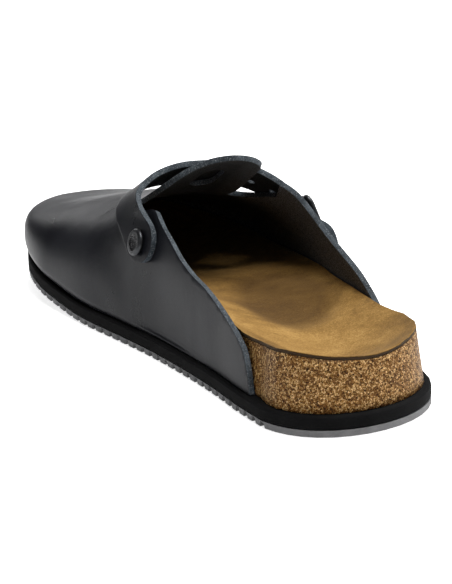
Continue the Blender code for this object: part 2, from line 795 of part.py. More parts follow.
def oval(centre, length, width, segments):
    """A hole with round ends, longer in x, as an outline."""
    straight = (length - width) / 2
    outline = []
    for start, end in ((-math.pi / 2, 1), (math.pi / 2, -1)):
        for angle in start + np.linspace(0, math.pi, segments // 2 + 1):
            outline.append(
                (
                    centre + end * straight + math.cos(angle) * width / 2,
                    math.sin(angle) * width / 2,
                )
            )
    return outline[: -1 if straight == 0 else None]


def make_strap():
    half = STRAP_WIDTH / 2
    round_end = STRAP_START + half * (1 - np.cos(np.linspace(0, math.pi / 2, 6)))
    plain = np.linspace(round_end[-1], BAR_AT, 20)[1:]
    crossing = np.linspace(BAR_AT, EYE_AT, 10)[1:]
    free = np.linspace(EYE_AT, STRAP_END - STRAP_TIP, 3)[1:]
    tip = STRAP_END - STRAP_TIP * np.cos(np.linspace(0, math.pi / 2, 6))[1:]
    rings = []
    for place in np.concatenate([round_end, plain, crossing, free, tip]):
        widths = ((0.0, STRAP_WIDTH), (BAR_AT - 0.045, STRAP_WIDTH), (BAR_AT, STRAP_WIDTH_AT_BUCKLE))
        wide = smooth(widths, 1, place, True) / 2
        wide *= rounded(place - STRAP_START, half) * rounded(STRAP_END - place, STRAP_TIP, 2.2)
        lift = smooth(STRAP_LIFT, 1, place, True)
        rise = smooth(STRAP_LIFT, 1, place + 2e-4, True) - smooth(STRAP_LIFT, 1, place - 2e-4, True)
        tilt = math.atan(rise / 4e-4)
        back = STRAP_LEATHER * math.sin(tilt)
        up = STRAP_LEATHER * math.cos(tilt)
        tilt_up = smooth(STRAP_LIFT, 2, place, True)
        across_strap = [(w, lift + tilt_up * (0.5 + w / STRAP_WIDTH)) for w in np.linspace(-wide, wide, 5)]
        under = [(place, w, z) for w, z in across_strap]
        over = [(place - back, w, z + up) for w, z in across_strap[::-1]]
        rings.append(under + over)
    blank = scratch("strap_pattern", loft("strap_pattern", rings))
    holes = [("prong_hole", oval(PRONG_HOLE, PRONG_HOLE_LENGTH, HOLE_WIDTH, 8))]
    for i, place in enumerate(SPARE_HOLES):
        holes.append((f"spare_hole_{i + 1}", oval(place, HOLE_WIDTH, HOLE_WIDTH, 8)))
    for name, outline in holes:
        cut = blank.modifiers.new(name, "BOOLEAN")
        cut.object = prism(name, outline, -0.002, 0.014)
        cut.operation = "DIFFERENCE"
        cut.solver = "EXACT"
    return add_piece("strap", lay_on_last(blank), "strap")


def turned(name, profile, segments):
    """A solid of revolution about z. The profile runs from the axis to the axis."""
    body = bmesh.new()
    points = [body.verts.new((radius, 0, z)) for radius, z in profile]
    edges = [body.edges.new(pair) for pair in zip(points, points[1:])]
    bmesh.ops.spin(
        body,
        geom=points + edges,
        cent=(0, 0, 0),
        axis=(0, 0, 1),
        angle=2 * math.pi,
        steps=segments,
    )
    bmesh.ops.remove_doubles(body, verts=body.verts, dist=1e-6)
    bmesh.ops.recalc_face_normals(body, faces=body.faces)
    mesh = bpy.data.meshes.new(name)
    body.to_mesh(mesh)
    body.free()
    return mesh


def stand_on_strap(mesh, place, height):
    """Moves a turned piece onto the strap's line, its axis along the last's normal."""
    foot, top = on_strap([(place, 0, height), (place, 0, height + 0.01)])
    up = Vector(top - foot).normalized()
    mesh.transform(Matrix.Translation(foot) @ up.to_track_quat("Z", "Y").to_matrix().to_4x4())
    return mesh


def make_strap_rivet():
    r, h = RIVET_RADIUS, RIVET_HEIGHT
    profile = (
        (0.0, 0.0),
        (0.90 * r, 0.0),
        (r, 0.16 * h),
        (r, 0.50 * h),
        (0.91 * r, 0.84 * h),
        (0.78 * r, h),
        (0.64 * r, 0.94 * h),
        (0.50 * r, 0.70 * h),
        (0.25 * r, 0.62 * h),
        (0.0, 0.60 * h),
    )
    mesh = turned("strap_rivet", profile, 28)
    place = STRAP_START + RIVET_SETBACK
    lift = smooth(STRAP_LIFT, 1, place, True) + smooth(STRAP_LIFT, 2, place, True) / 2
    stand_on_strap(mesh, place, lift + STRAP_LEATHER + 1.5 * GAP)
    return add_piece("strap_rivet", mesh, "metal")


def swept(name, path, sides, profile, closed):
    """A profile carried along a path. Sides and ups are the profile's axes at each point."""
    rings = []
    for point, (side, up) in zip(path, sides):
        rings.append([tuple(np.array(point) + a * np.array(side) + b * np.array(up)) for a, b in profile])
    if not closed:
        return loft(name, rings)
    body = bmesh.new()
    rows = [[body.verts.new(p) for p in ring] for ring in rings]
    count = len(profile)
    for low, high in zip(rows, rows[1:] + rows[:1]):
        for i in range(count):
            j = (i + 1) % count
            body.faces.new((low[i], low[j], high[j], high[i]))
    bmesh.ops.recalc_face_normals(body, faces=body.faces)
    mesh = bpy.data.meshes.new(name)
    body.to_mesh(mesh)
    body.free()
    return mesh


def make_buckle_frame():
    """A rounded rectangle of wire. Its bar over the strap stands higher than its hinge bar."""
    long = BUCKLE_LENGTH / 2 - BUCKLE_WIRE / 2
    wide = BUCKLE_WIDTH / 2 - BUCKLE_WIRE / 2
    middle = (BAR_AT + EYE_AT) / 2
    bend = BUCKLE_CORNER - BUCKLE_WIRE / 2
    path = []
    sides = []
    for corner in range(4):
        start = corner * math.pi / 2
        centre = (
            (long - bend) * (1 if corner in (0, 3) else -1),
            (wide - bend) * (1 if corner in (0, 1) else -1),
        )
        for angle in start + np.linspace(0, math.pi / 2, 5):
            x = centre[0] + bend * math.cos(angle)
            y = centre[1] + bend * math.sin(angle)
            t = (x + long) / (2 * long)
            z = BAR_HEIGHT + (EYE_HEIGHT - BAR_HEIGHT) * t
            path.append((middle + x, y, z))
            sides.append(((math.cos(angle), math.sin(angle), 0), (0, 0, 1)))
    angles = np.linspace(0, 2 * math.pi, 8, endpoint=False) + math.pi / 8
    radius = BUCKLE_WIRE / 2
    profile = [(radius * math.cos(a), radius * math.sin(a)) for a in angles]
    blank = scratch("frame_pattern", swept("frame_pattern", path, sides, profile, True))
    return add_piece("buckle_frame", lay_on_last(blank), "metal", 50)


def make_buckle_prong():
    """A flat wire curled round the hinge bar, run through the strap and laid over the far bar."""
    curl = BUCKLE_WIRE / 2 + GAP + PRONG_THICKNESS / 2
    eye = np.array([EYE_AT, EYE_HEIGHT])
    rest = np.array([BAR_AT, BAR_HEIGHT + BUCKLE_WIRE / 2 + GAP + PRONG_THICKNESS / 2])
    reach = rest - eye
    slope = math.atan2(reach[1], -reach[0]) - math.asin(curl / np.linalg.norm(reach))
    ahead = np.array([-math.cos(slope), math.sin(slope)])
    leaving = math.pi / 2 - slope
    points = []
    for angle in np.linspace(leaving - math.radians(300), leaving, 15):
        points.append(eye + curl * np.array([math.cos(angle), math.sin(angle)]))
    start = points[-1]
    length = np.linalg.norm(rest - start)
    for share in (0.25, 0.5, 0.75, 1.0):
        points.append(start + ahead * length * share)
    points.append(points[-1] + ahead * 0.0022 + np.array([0, -0.0003]))
    points = np.array(points)
    tangents = np.gradient(points, axis=0)
    tangents /= np.linalg.norm(tangents, axis=1)[:, None]
    path = [(p[0], 0, p[1]) for p in points]
    sides = [((0, 1, 0), (-t[1], 0, t[0])) for t in tangents]
    w, h, c = PRONG_WIDTH / 2, PRONG_THICKNESS / 2, PRONG_THICKNESS / 4
    profile = [(w, c - h), (w, h - c), (w - c, h), (c - w, h)]
    profile += [(-w, h - c), (-w, c - h), (c - w, -h), (w - c, -h)]
    blank = scratch("prong_pattern", swept("prong_pattern", path, sides, profile, False))
    return add_piece("buckle_prong", lay_on_last(blank), "metal", 50)


def make_buckle_chape():
    """A short leather loop that holds the hinge bar and is riveted to the outer quarter."""
    bar = BUCKLE_WIRE / 2 + GAP
    t = CHAPE_LEATHER
    inner = []
    outer = []
    for angle in np.linspace(-math.pi / 2, -3 * math.pi / 2, 9):
        way = np.array([math.cos(angle), math.sin(angle)])
        inner.append(np.array([EYE_AT, EYE_HEIGHT]) + bar * way)
        outer.append(np.array([EYE_AT, EYE_HEIGHT]) + (bar + t) * way)
    # The two layers come together behind the bar
    meet = EYE_AT + 0.0062
    low = GAP + t
    lower = [(EYE_AT + CHAPE_LENGTH, low), (meet, low)]
    upper = [(meet, low + 0.0002), (EYE_AT + CHAPE_FOLD, low + 0.0002)]
    over = [(EYE_AT + CHAPE_FOLD, low + 0.0002 + t), (meet, low + 0.0002 + t)]
    under = [(EYE_AT + 0.003, GAP), (meet, GAP), (EYE_AT + CHAPE_LENGTH, GAP)]
    section = lower + [tuple(p) for p in inner] + upper + over
    section += [tuple(p) for p in outer[::-1]] + under
    rings = []
    for w in np.linspace(-CHAPE_WIDTH / 2, CHAPE_WIDTH / 2, 4):
        rings.append([(s, w, h) for s, h in section])
    body = loft("chape_pattern", rings)
    blank = scratch("chape_pattern", body)
    notch = PRONG_WIDTH / 2 + 0.0006
    outline = [
        (EYE_AT - 0.006, -notch),
        (EYE_AT + 0.0042, -notch),
        (EYE_AT + 0.0042, notch),
        (EYE_AT - 0.006, notch),
    ]
    cut = blank.modifiers.new("prong_notch", "BOOLEAN")
    cut.object = prism("prong_notch", outline, -0.002, 0.014)
    cut.operation = "DIFFERENCE"
    cut.solver = "EXACT"
    return add_piece("buckle_chape", lay_on_last(blank), "strap")


def make_chape_rivet():
    r, h = CHAPE_RIVET_RADIUS, CHAPE_RIVET_HEIGHT
    profile = ((0.0, 0.0), (r, 0.0), (r, 0.35 * h), (0.8 * r, 0.85 * h), (0.4 * r, h), (0.0, h))
    mesh = turned("chape_rivet", profile, 20)
    stand_on_strap(mesh, EYE_AT + 0.0092, 2 * GAP + 2 * CHAPE_LEATHER + 0.0002)
    return add_piece("chape_rivet", mesh, "metal")


def main():
    for old in list(bpy.data.objects):
        bpy.data.objects.remove(old)
    for name in (COLLECTION, "cutters"):
        group = bpy.data.collections.new(name)
        bpy.context.scene.collection.children.link(group)
    make_outsole()
    make_midsole()
    make_footbed()
    make_insole()
    make_upper()
    make_strap()
    make_strap_rivet()
    make_buckle_frame()
    make_buckle_prong()
    make_buckle_chape()
    make_chape_rivet()


main()
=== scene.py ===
# %% [markdown]
# # Dressing a chef clog
# The solids of the clog are already made and packed. This lesson loads them and gives each one
# the surface of the real thing: smooth black leather with raw blue-grey edges, napped suede,
# sealed cork, a black foam layer, a ribbed grey tread and blackened metal. Lengths are metres,
# +Y runs from heel to toe, +X is the outer side and the floor is at z = 0.

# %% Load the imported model
import math

import bmesh
import bpy
import numpy as np
from mathutils import Matrix, Vector


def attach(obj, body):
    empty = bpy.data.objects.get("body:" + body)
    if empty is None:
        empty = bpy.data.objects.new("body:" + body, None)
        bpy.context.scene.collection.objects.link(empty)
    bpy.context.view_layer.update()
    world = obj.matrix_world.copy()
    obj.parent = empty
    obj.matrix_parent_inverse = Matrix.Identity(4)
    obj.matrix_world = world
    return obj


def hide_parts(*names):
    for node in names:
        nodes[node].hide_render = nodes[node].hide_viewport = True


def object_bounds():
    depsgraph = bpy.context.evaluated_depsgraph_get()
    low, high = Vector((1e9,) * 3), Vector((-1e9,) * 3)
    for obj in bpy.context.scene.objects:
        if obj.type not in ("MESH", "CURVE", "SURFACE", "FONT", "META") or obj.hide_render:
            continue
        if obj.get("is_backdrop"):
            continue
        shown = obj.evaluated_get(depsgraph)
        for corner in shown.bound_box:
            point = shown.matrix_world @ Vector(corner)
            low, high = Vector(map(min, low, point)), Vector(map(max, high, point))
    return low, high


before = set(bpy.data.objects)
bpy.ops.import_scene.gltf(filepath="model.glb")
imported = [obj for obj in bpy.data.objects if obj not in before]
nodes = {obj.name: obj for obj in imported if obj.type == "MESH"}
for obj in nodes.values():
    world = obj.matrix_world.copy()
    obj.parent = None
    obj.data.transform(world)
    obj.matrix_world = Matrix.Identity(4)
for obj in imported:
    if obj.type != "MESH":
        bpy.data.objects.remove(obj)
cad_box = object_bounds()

print("nodes:", sorted(nodes))

# %% [markdown]
# ## The camera
# The photograph looks at the inner side of the shoe from behind and a little above, from more
# than a metre away. An angle could be guessed and nudged. Here it was fitted to the outlines of
# the sole, so the values below are an azimuth, an elevation, a roll, a distance, a small shift
# of the aim, and a focal length in pixels for a picture 452 pixels wide.

# %% Place the camera
PICTURE_WIDTH = 452
AZIMUTH = math.radians(-21.607)
ELEVATION = math.radians(15.965)
ROLL = math.radians(-2.839)
CAMERA_DISTANCE = 1.1
FOCAL_PIXELS = 2693.849
AIM = Vector((0.0, 0.130, 0.030))
AIM_RIGHT = 0.001933
AIM_UP = -0.011743

back = Vector((math.sin(AZIMUTH) * math.cos(ELEVATION), -math.cos(AZIMUTH) * math.cos(ELEVATION),
               math.sin(ELEVATION)))
right = Vector((math.cos(AZIMUTH), math.sin(AZIMUTH), 0.0))
up = back.cross(right)
target = AIM + right * AIM_RIGHT + up * AIM_UP
rolled_right = right * math.cos(ROLL) + up * math.sin(ROLL)
rolled_up = up * math.cos(ROLL) - right * math.sin(ROLL)
turn_camera = Matrix((rolled_right, rolled_up, back)).transposed().to_4x4()
lens = bpy.data.cameras.new("camera")
lens.sensor_fit = "HORIZONTAL"
lens.sensor_width = 36.0
lens.lens = FOCAL_PIXELS * lens.sensor_width / PICTURE_WIDTH
lens.clip_start = 0.01
lens.clip_end = 60.0
camera = bpy.data.objects.new("camera", lens)
bpy.context.scene.collection.objects.link(camera)
camera.matrix_world = Matrix.Translation(target + back * CAMERA_DISTANCE) @ turn_camera
bpy.context.scene.camera = camera
print("camera at", [round(c, 3) for c in camera.matrix_world.translation], "lens", round(lens.lens, 1))

# %% [markdown]
# ## Small helpers
# Every piece below is shaped as a bmesh and then becomes an object, and every finish is a
# Principled BSDF with a handful of textures in front of it. Typing each step and each link would
# hide the idea of a piece behind its wiring. So short helpers turn a bmesh into an object, add a
# node with its settings, values and links in one line, and wrap the nodes that come back most.

# %% From a bmesh to an object with soft edges
def link_new(name, shell):
    mesh = bpy.data.meshes.new(name)
    shell.to_mesh(mesh)
    shell.free()
    piece = bpy.data.objects.new(name, mesh)
    bpy.context.scene.collection.objects.link(piece)
    return piece


def add_bevel(piece, width, angle):
    """Rounds the edges where two faces meet at more than the angle, in degrees."""
    bevel = piece.modifiers.new("soft_edge", "BEVEL")
    bevel.width = width
    bevel.segments = 2
    bevel.limit_method = "ANGLE"
    bevel.angle_limit = math.radians(angle)


# %% Helpers for materials
WHITE = (1.0, 1.0, 1.0, 1.0)
# A Mix node has a set of sockets for each kind of data, and these are the ones for colours
MIX_AMOUNT, MIX_FIRST, MIX_SECOND, MIX_RESULT = 0, 6, 7, 2


def set_inputs(tree, node, values):
    """Links each value that is a socket and writes each other value on its input."""
    for name, value in values.items():
        if isinstance(value, bpy.types.NodeSocket):
            tree.links.new(value, node.inputs[name])
        else:
            node.inputs[name].default_value = value


def start_material(name, roughness, metallic=0.0, specular=0.5):
    material = bpy.data.materials.new(name)
    material.use_nodes = True
    tree = material.node_tree
    shader = tree.nodes["Principled BSDF"]
    set_inputs(tree, shader, {"Roughness": roughness, "Metallic": metallic,
                              "Specular IOR Level": specular})
    return material, tree, shader


def add_node(tree, kind, values=None, **settings):
    node = tree.nodes.new(kind)
    for name, value in settings.items():
        setattr(node, name, value)
    set_inputs(tree, node, values or {})
    return node


def object_place(tree):
    return add_node(tree, "ShaderNodeTexCoord").outputs["Object"]


def noise_value(tree, place, scale, detail, rough=0.55, distortion=0.0):
    values = {"Vector": place, "Scale": scale, "Detail": detail, "Roughness": rough,
              "Distortion": distortion}
    return add_node(tree, "ShaderNodeTexNoise", values).outputs["Fac"]


def remap(tree, value, from_low, from_high, to_low, to_high):
    values = {"Value": value, "From Min": from_low, "From Max": from_high, "To Min": to_low,
              "To Max": to_high}
    return add_node(tree, "ShaderNodeMapRange", values).outputs["Result"]


def mix_colour(tree, amount, first, second, blend="MIX"):
    values = {MIX_AMOUNT: amount, MIX_FIRST: first, MIX_SECOND: second}
    node = add_node(tree, "ShaderNodeMix", values, data_type="RGBA", blend_type=blend)
    return node.outputs[MIX_RESULT]


def math_value(tree, operation, first, second):
    return add_node(tree, "ShaderNodeMath", {0: first, 1: second}, operation=operation).outputs[0]


def times(tree, first, second):
    return math_value(tree, "MULTIPLY", first, second)


def plus(tree, first, second):
    return math_value(tree, "ADD", first, second)


def ramp(tree, value, stops):
    node = add_node(tree, "ShaderNodeValToRGB", {"Fac": value})
    colours = node.color_ramp
    while len(colours.elements) < len(stops):
        colours.elements.new(0.5)
    for element, (position, colour) in zip(colours.elements, stops):
        element.position = position
        element.color = (*colour, 1.0)
    return node.outputs["Color"]


def bump(tree, height, strength, distance, normal=None):
    values = {"Height": height, "Strength": strength, "Distance": distance}
    if normal is not None:
        values["Normal"] = normal
    return add_node(tree, "ShaderNodeBump", values).outputs["Normal"]


# %% [markdown]
# ## Floor and light
# A product photograph on white has a pale floor, a pale room and large soft lamps, so that the
# leather shows long soft highlights and no hard shadow. A big lamp overhead lights floor and
# bed, a low wide one beyond the toe draws the highlight along the vamp, and two more fill the
# inner and the outer side. The floor glows a little, like a light table, which keeps the shadow
# under the tread pale. It glows more for the camera than for the shoe. The room is kept dim so
# that black leather stays black, and only the camera sees it white.

# %% Pale floor, pale room and four soft lamps
GLOW_FOR_SHOE = 0.28
GLOW_FOR_CAMERA = 0.76
ROOM_LIGHT = 0.08
FLOOR_SIZE = 12.0
FLOOR_GAP = 0.0002
LAMPS = (
    # name, place, aim, size, power in watts
    ("lamp_overhead", (0.25, -0.25, 1.9), (0.0, 0.12, 0.03), (1.05, 1.05), 42.0),
    ("lamp_beyond_toe", (0.15, 1.9, 0.75), (0.0, 0.2, 0.05), (1.1, 0.5), 5.0),
    ("lamp_inner_side", (-1.5, -0.1, 0.7), (0.0, 0.12, 0.03), (0.7, 0.5), 0.8),
    ("lamp_outer_side", (1.25, 0.3, 1.0), (0.0, 0.15, 0.03), (1.4, 0.9), 20.0),
)


def seen_by_camera(tree):
    """1 for a ray straight from the camera and 0 for the light that falls on the shoe."""
    return add_node(tree, "ShaderNodeLightPath").outputs["Is Camera Ray"]


def make_floor():
    ground = bmesh.new()
    bmesh.ops.create_grid(ground, x_segments=2, y_segments=2, size=FLOOR_SIZE)
    floor = link_new("floor", ground)
    paint, tree, shader = start_material("pale_floor", 0.9, specular=0.1)
    glow = remap(tree, seen_by_camera(tree), 0.0, 1.0, GLOW_FOR_SHOE, GLOW_FOR_CAMERA)
    set_inputs(tree, shader, {"Base Color": (0.90, 0.90, 0.90, 1.0), "Emission Color": WHITE,
                              "Emission Strength": glow})
    floor.data.materials.append(paint)
    floor.location.z = -FLOOR_GAP
    floor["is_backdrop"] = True


def make_lamp(name, place, aim, size, power):
    light = bpy.data.lights.new(name, "AREA")
    light.shape = "RECTANGLE"
    light.size, light.size_y = size
    light.energy = power
    lamp = bpy.data.objects.new(name, light)
    bpy.context.scene.collection.objects.link(lamp)
    way = Vector(place) - Vector(aim)
    lamp.matrix_world = Matrix.Translation(place) @ way.to_track_quat("Z", "Y").to_matrix().to_4x4()


def make_room():
    world = bpy.data.worlds.new("pale_room")
    world.use_nodes = True
    sky = world.node_tree
    dim = sky.nodes["Background"]
    set_inputs(sky, dim, {"Color": WHITE, "Strength": ROOM_LIGHT})
    white = add_node(sky, "ShaderNodeBackground", {"Color": WHITE})
    either = add_node(sky, "ShaderNodeMixShader",
                      {0: seen_by_camera(sky), 1: dim.outputs[0], 2: white.outputs[0]})
    set_inputs(sky, sky.nodes["World Output"], {"Surface": either.outputs[0]})
    bpy.context.scene.world = world


make_floor()
for lamp_values in LAMPS:
    make_lamp(*lamp_values)
make_room()
bpy.context.scene.view_settings.view_transform = "Standard"
print("lamps:", len(LAMPS))

# %% [markdown]
# ## Shared effects as node groups
# Nap is the cloudy brushed look of suede, and handling dust is a faint pale veil that breaks up
# a dark surface. Both come back on several finishes. They could be copied into every material,
# but a group is built once and takes its own values each time. Leather grain, a pebble of tiny
# cells over broad folds, has one user here and is a group because its wiring is long. The groups
# only give out masks and heights, and the shader stays in the material.

# %% Leather grain, nap and dust
def new_group(name, count, outputs):
    """A group that takes a place and how many cells, patches or specks a metre has."""
    group = bpy.data.node_groups.new(name, "ShaderNodeTree")
    group.interface.new_socket("Place", in_out="INPUT", socket_type="NodeSocketVector")
    group.interface.new_socket(count, in_out="INPUT", socket_type="NodeSocketFloat")
    for label in outputs:
        group.interface.new_socket(label, in_out="OUTPUT", socket_type="NodeSocketFloat")
    taken = group.nodes.new("NodeGroupInput").outputs
    return group, taken["Place"], taken[count], group.nodes.new("NodeGroupOutput")


def wobbled(tree, place, scale, reach):
    """The place pushed about by a coarse noise, so that the cells drawn on it aren't even."""
    noise = add_node(tree, "ShaderNodeTexNoise", {"Vector": place, "Scale": scale, "Detail": 2.0})
    values = {0: noise.outputs["Color"], 1: (reach, reach, reach), 2: place}
    return add_node(tree, "ShaderNodeVectorMath", values, operation="MULTIPLY_ADD").outputs["Vector"]


def make_grain_group():
    group, place, count, given = new_group("leather_grain", "Cells per metre", ["Height", "Tone"])
    values = {"Vector": wobbled(group, place, 420.0, 0.0012), "Scale": count}
    cells = add_node(group, "ShaderNodeTexVoronoi", values, feature="DISTANCE_TO_EDGE")
    pebble = remap(group, cells.outputs["Distance"], 0.0, 0.22, 0.0, 1.0)
    folds = noise_value(group, place, 230.0, 4.0, 0.6)
    set_inputs(group, given, {"Height": plus(group, times(group, pebble, 0.6), folds),
                              "Tone": noise_value(group, place, 34.0, 4.0, 0.6)})
    return group


def make_nap_group():
    group, place, count, given = new_group("suede_nap", "Patches per metre", ["Height", "Tone"])
    patches = noise_value(group, place, count, 5.0, 0.62, 0.6)
    strokes = noise_value(group, place, 260.0, 4.0, 0.7, 0.4)
    fibres = noise_value(group, place, 2600.0, 3.0, 0.7)
    grain = noise_value(group, place, 1500.0, 3.0, 0.75)
    broad = plus(group, times(group, patches, 0.48), times(group, strokes, 0.14))
    height = plus(group, times(group, fibres, 0.75), times(group, strokes, 0.5))
    set_inputs(group, given, {"Tone": plus(group, broad, times(group, grain, 0.38)), "Height": height})
    return group


def make_dust_group():
    group, place, count, given = new_group("handling_dust", "Specks per metre", ["Mask"])
    specks = noise_value(group, place, count, 4.0, 0.7)
    cloud = noise_value(group, place, 60.0, 3.0, 0.55)
    dots = remap(group, specks, 0.5, 0.78, 0.0, 1.0)
    set_inputs(group, given, {"Mask": times(group, dots, cloud)})
    return group


grain_group = make_grain_group()
nap_group = make_nap_group()
dust_group = make_dust_group()


def use_group(tree, group, values):
    return add_node(tree, "ShaderNodeGroup", values, node_tree=group).outputs


def dusty(tree, place, colour, specks, strength, dust_colour):
    """A colour under a veil of handling dust."""
    mask = use_group(tree, dust_group, {"Place": place, "Specks per metre": specks})["Mask"]
    return mix_colour(tree, times(tree, mask, strength), colour, (*dust_colour, 1.0))


print("groups:", [g.name for g in bpy.data.node_groups])

# %% [markdown]
# ## The finishes
# Black leather on the outside is smooth and a little blue, with a soft sheen. Its raw edge is
# scuffed to blue-grey, and its flesh side is a dark nap. On the outer quarter a paler grey is
# mixed in as painted light, for the light that falls on the flesh side there. The three share one
# hide, so the upper carries all three materials and its faces choose between them. The strap's
# flesh side is dark all over, so it is made with a dark second colour.

# %% Leather: smooth side, raw edge and flesh side
# Painted light: between these two places across the shoe the flesh side turns from dark to a paler
# painted grey
PAINTED_LIGHT_START = 0.012
PAINTED_LIGHT_FULL = 0.032


def make_smooth_leather():
    material, tree, shader = start_material("black_leather", 0.30, specular=0.08)
    place = object_place(tree)
    grain = use_group(tree, grain_group, {"Place": place, "Cells per metre": 1700.0})
    tone = ramp(tree, grain["Tone"],
                ((0.30, (0.0052, 0.0055, 0.0074)), (0.52, (0.0088, 0.0092, 0.0120)),
                 (0.72, (0.0150, 0.0156, 0.0192))))
    set_inputs(tree, shader, {
        "Base Color": dusty(tree, place, tone, 1100.0, 0.10, (0.08, 0.084, 0.095)),
        "Roughness": remap(tree, grain["Tone"], 0.3, 0.7, 0.26, 0.35),
        "Normal": bump(tree, grain["Height"], 0.16, 0.00022),
        "Coat Weight": 0.03,
        "Coat Roughness": 0.30,
    })
    return material


def make_raw_edge():
    material, tree, shader = start_material("raw_leather_edge", 0.72, specular=0.25)
    place = object_place(tree)
    nap = use_group(tree, nap_group, {"Place": place, "Patches per metre": 120.0})
    tone = ramp(tree, nap["Tone"],
                ((0.36, (0.012, 0.016, 0.020)), (0.50, (0.034, 0.043, 0.052)),
                 (0.64, (0.085, 0.103, 0.118))))
    specks = remap(tree, noise_value(tree, place, 1700.0, 2.0, 0.6), 0.56, 0.70, 0.0, 0.8)
    set_inputs(tree, shader, {
        "Base Color": mix_colour(tree, specks, tone, (0.235, 0.255, 0.270, 1.0)),
        "Normal": bump(tree, nap["Height"], 0.5, 0.0003),
    })
    return material


def make_flesh_side(name, painted_light_colour):
    """The nap is dark, and over a short span towards the outer side it turns to a second colour: on
    the upper a paler grey, painted light for the light falling on the outer quarter.
    """
    material, tree, shader = start_material(name, 0.95, specular=0.06)
    place = object_place(tree)
    nap = use_group(tree, nap_group, {"Place": place, "Patches per metre": 40.0})
    tone = ramp(tree, nap["Tone"],
                ((0.36, (0.0030, 0.0029, 0.0029)), (0.50, (0.0070, 0.0068, 0.0068)),
                 (0.66, (0.0200, 0.0192, 0.0188))))
    # Painted light: towards the outer side the nap turns to a paler colour that stands in for light
    # falling on the outer quarter
    across = add_node(tree, "ShaderNodeSeparateXYZ", {"Vector": place}).outputs["X"]
    outer = remap(tree, across, PAINTED_LIGHT_START, PAINTED_LIGHT_FULL, 0.0, 1.0)
    fuzz = remap(tree, noise_value(tree, place, 1900.0, 2.0, 0.6), 0.42, 0.66, 0.35, 1.5)
    fuzzy_painted_light = mix_colour(tree, 1.0, painted_light_colour, fuzz, "MULTIPLY")
    set_inputs(tree, shader, {
        "Base Color": mix_colour(tree, outer, tone, fuzzy_painted_light),
        "Normal": bump(tree, nap["Height"], 0.6, 0.0004),
        "Sheen Weight": 0.04,
        "Sheen Roughness": 0.5,
    })
    return material


smooth_leather = make_smooth_leather()
raw_edge = make_raw_edge()
flesh_side = make_flesh_side("flesh_side", (0.128, 0.134, 0.150, 1.0))
strap_flesh = make_flesh_side("strap_flesh", (0.010, 0.010, 0.011, 1.0))
print("leather:", smooth_leather.name, raw_edge.name, flesh_side.name, strap_flesh.name)

# %% [markdown]
# The insole is suede, brushed until it is cloudy: darker where the nap lies away and paler where a
# finger has stroked it. Shade is painted darker into the heel's hollow and under the vamp, where
# shadow falls. The cork under it is ground bark pressed with glue and sealed, so each crumb has
# its own brown, dark crumbs lie among pale ones, and the seal gives a thin gloss.

# %% Suede and cork
HOLLOW_TURN = math.radians(-14.0)
# A Mapping node of the TEXTURE kind divides by its scale, so a huge one takes height out
FLATTEN = 1000.0


def patch_mask(tree, place, centre, radii, turn, start, end):
    """1 in the middle of an oval patch, falling to 0 from start to end, in shares of its radii."""
    values = {"Vector": place, "Location": (*centre, 0.0), "Rotation": (0.0, 0.0, turn),
              "Scale": (*radii, FLATTEN)}
    moved = add_node(tree, "ShaderNodeMapping", values, vector_type="TEXTURE").outputs["Vector"]
    away = add_node(tree, "ShaderNodeVectorMath", {0: moved}, operation="LENGTH")
    return remap(tree, away.outputs["Value"], start, end, 1.0, 0.0)


def make_suede():
    material, tree, shader = start_material("mustard_suede", 0.93, specular=0.2)
    place = object_place(tree)
    nap = use_group(tree, nap_group, {"Place": place, "Patches per metre": 30.0})
    tone = ramp(tree, nap["Tone"],
                ((0.36, (0.070, 0.032, 0.006)), (0.46, (0.180, 0.094, 0.020)),
                 (0.54, (0.275, 0.150, 0.036)), (0.64, (0.440, 0.262, 0.080))))
    normal = add_node(tree, "ShaderNodeNewGeometry").outputs["Normal"]
    level = add_node(tree, "ShaderNodeSeparateXYZ", {"Vector": normal}).outputs["Z"]
    rim = remap(tree, level, 0.25, 0.62, 1.0, 0.0)
    # Painted shade: the heel's hollow and the bed under the vamp are painted darker where shadow falls
    hollow = patch_mask(tree, place, (0.015, 0.101), (0.021, 0.044), HOLLOW_TURN, 0.70, 1.12)
    under_vamp_shade = patch_mask(tree, place, (0.005, 0.190), (0.060, 0.085), 0.0, 0.4, 1.2)
    shade = math_value(tree, "MAXIMUM", times(tree, hollow, 0.66), times(tree, under_vamp_shade, 0.30))
    shaded_nap = mix_colour(tree, shade, tone, (0.060, 0.028, 0.006, 1.0))
    set_inputs(tree, shader, {
        "Base Color": mix_colour(tree, rim, shaded_nap, (0.035, 0.019, 0.008, 1.0)),
        "Normal": bump(tree, nap["Height"], 0.45, 0.00035),
        "Sheen Weight": 0.12,
        "Sheen Roughness": 0.45,
        "Sheen Tint": (1.0, 0.86, 0.60, 1.0),
    })
    return material


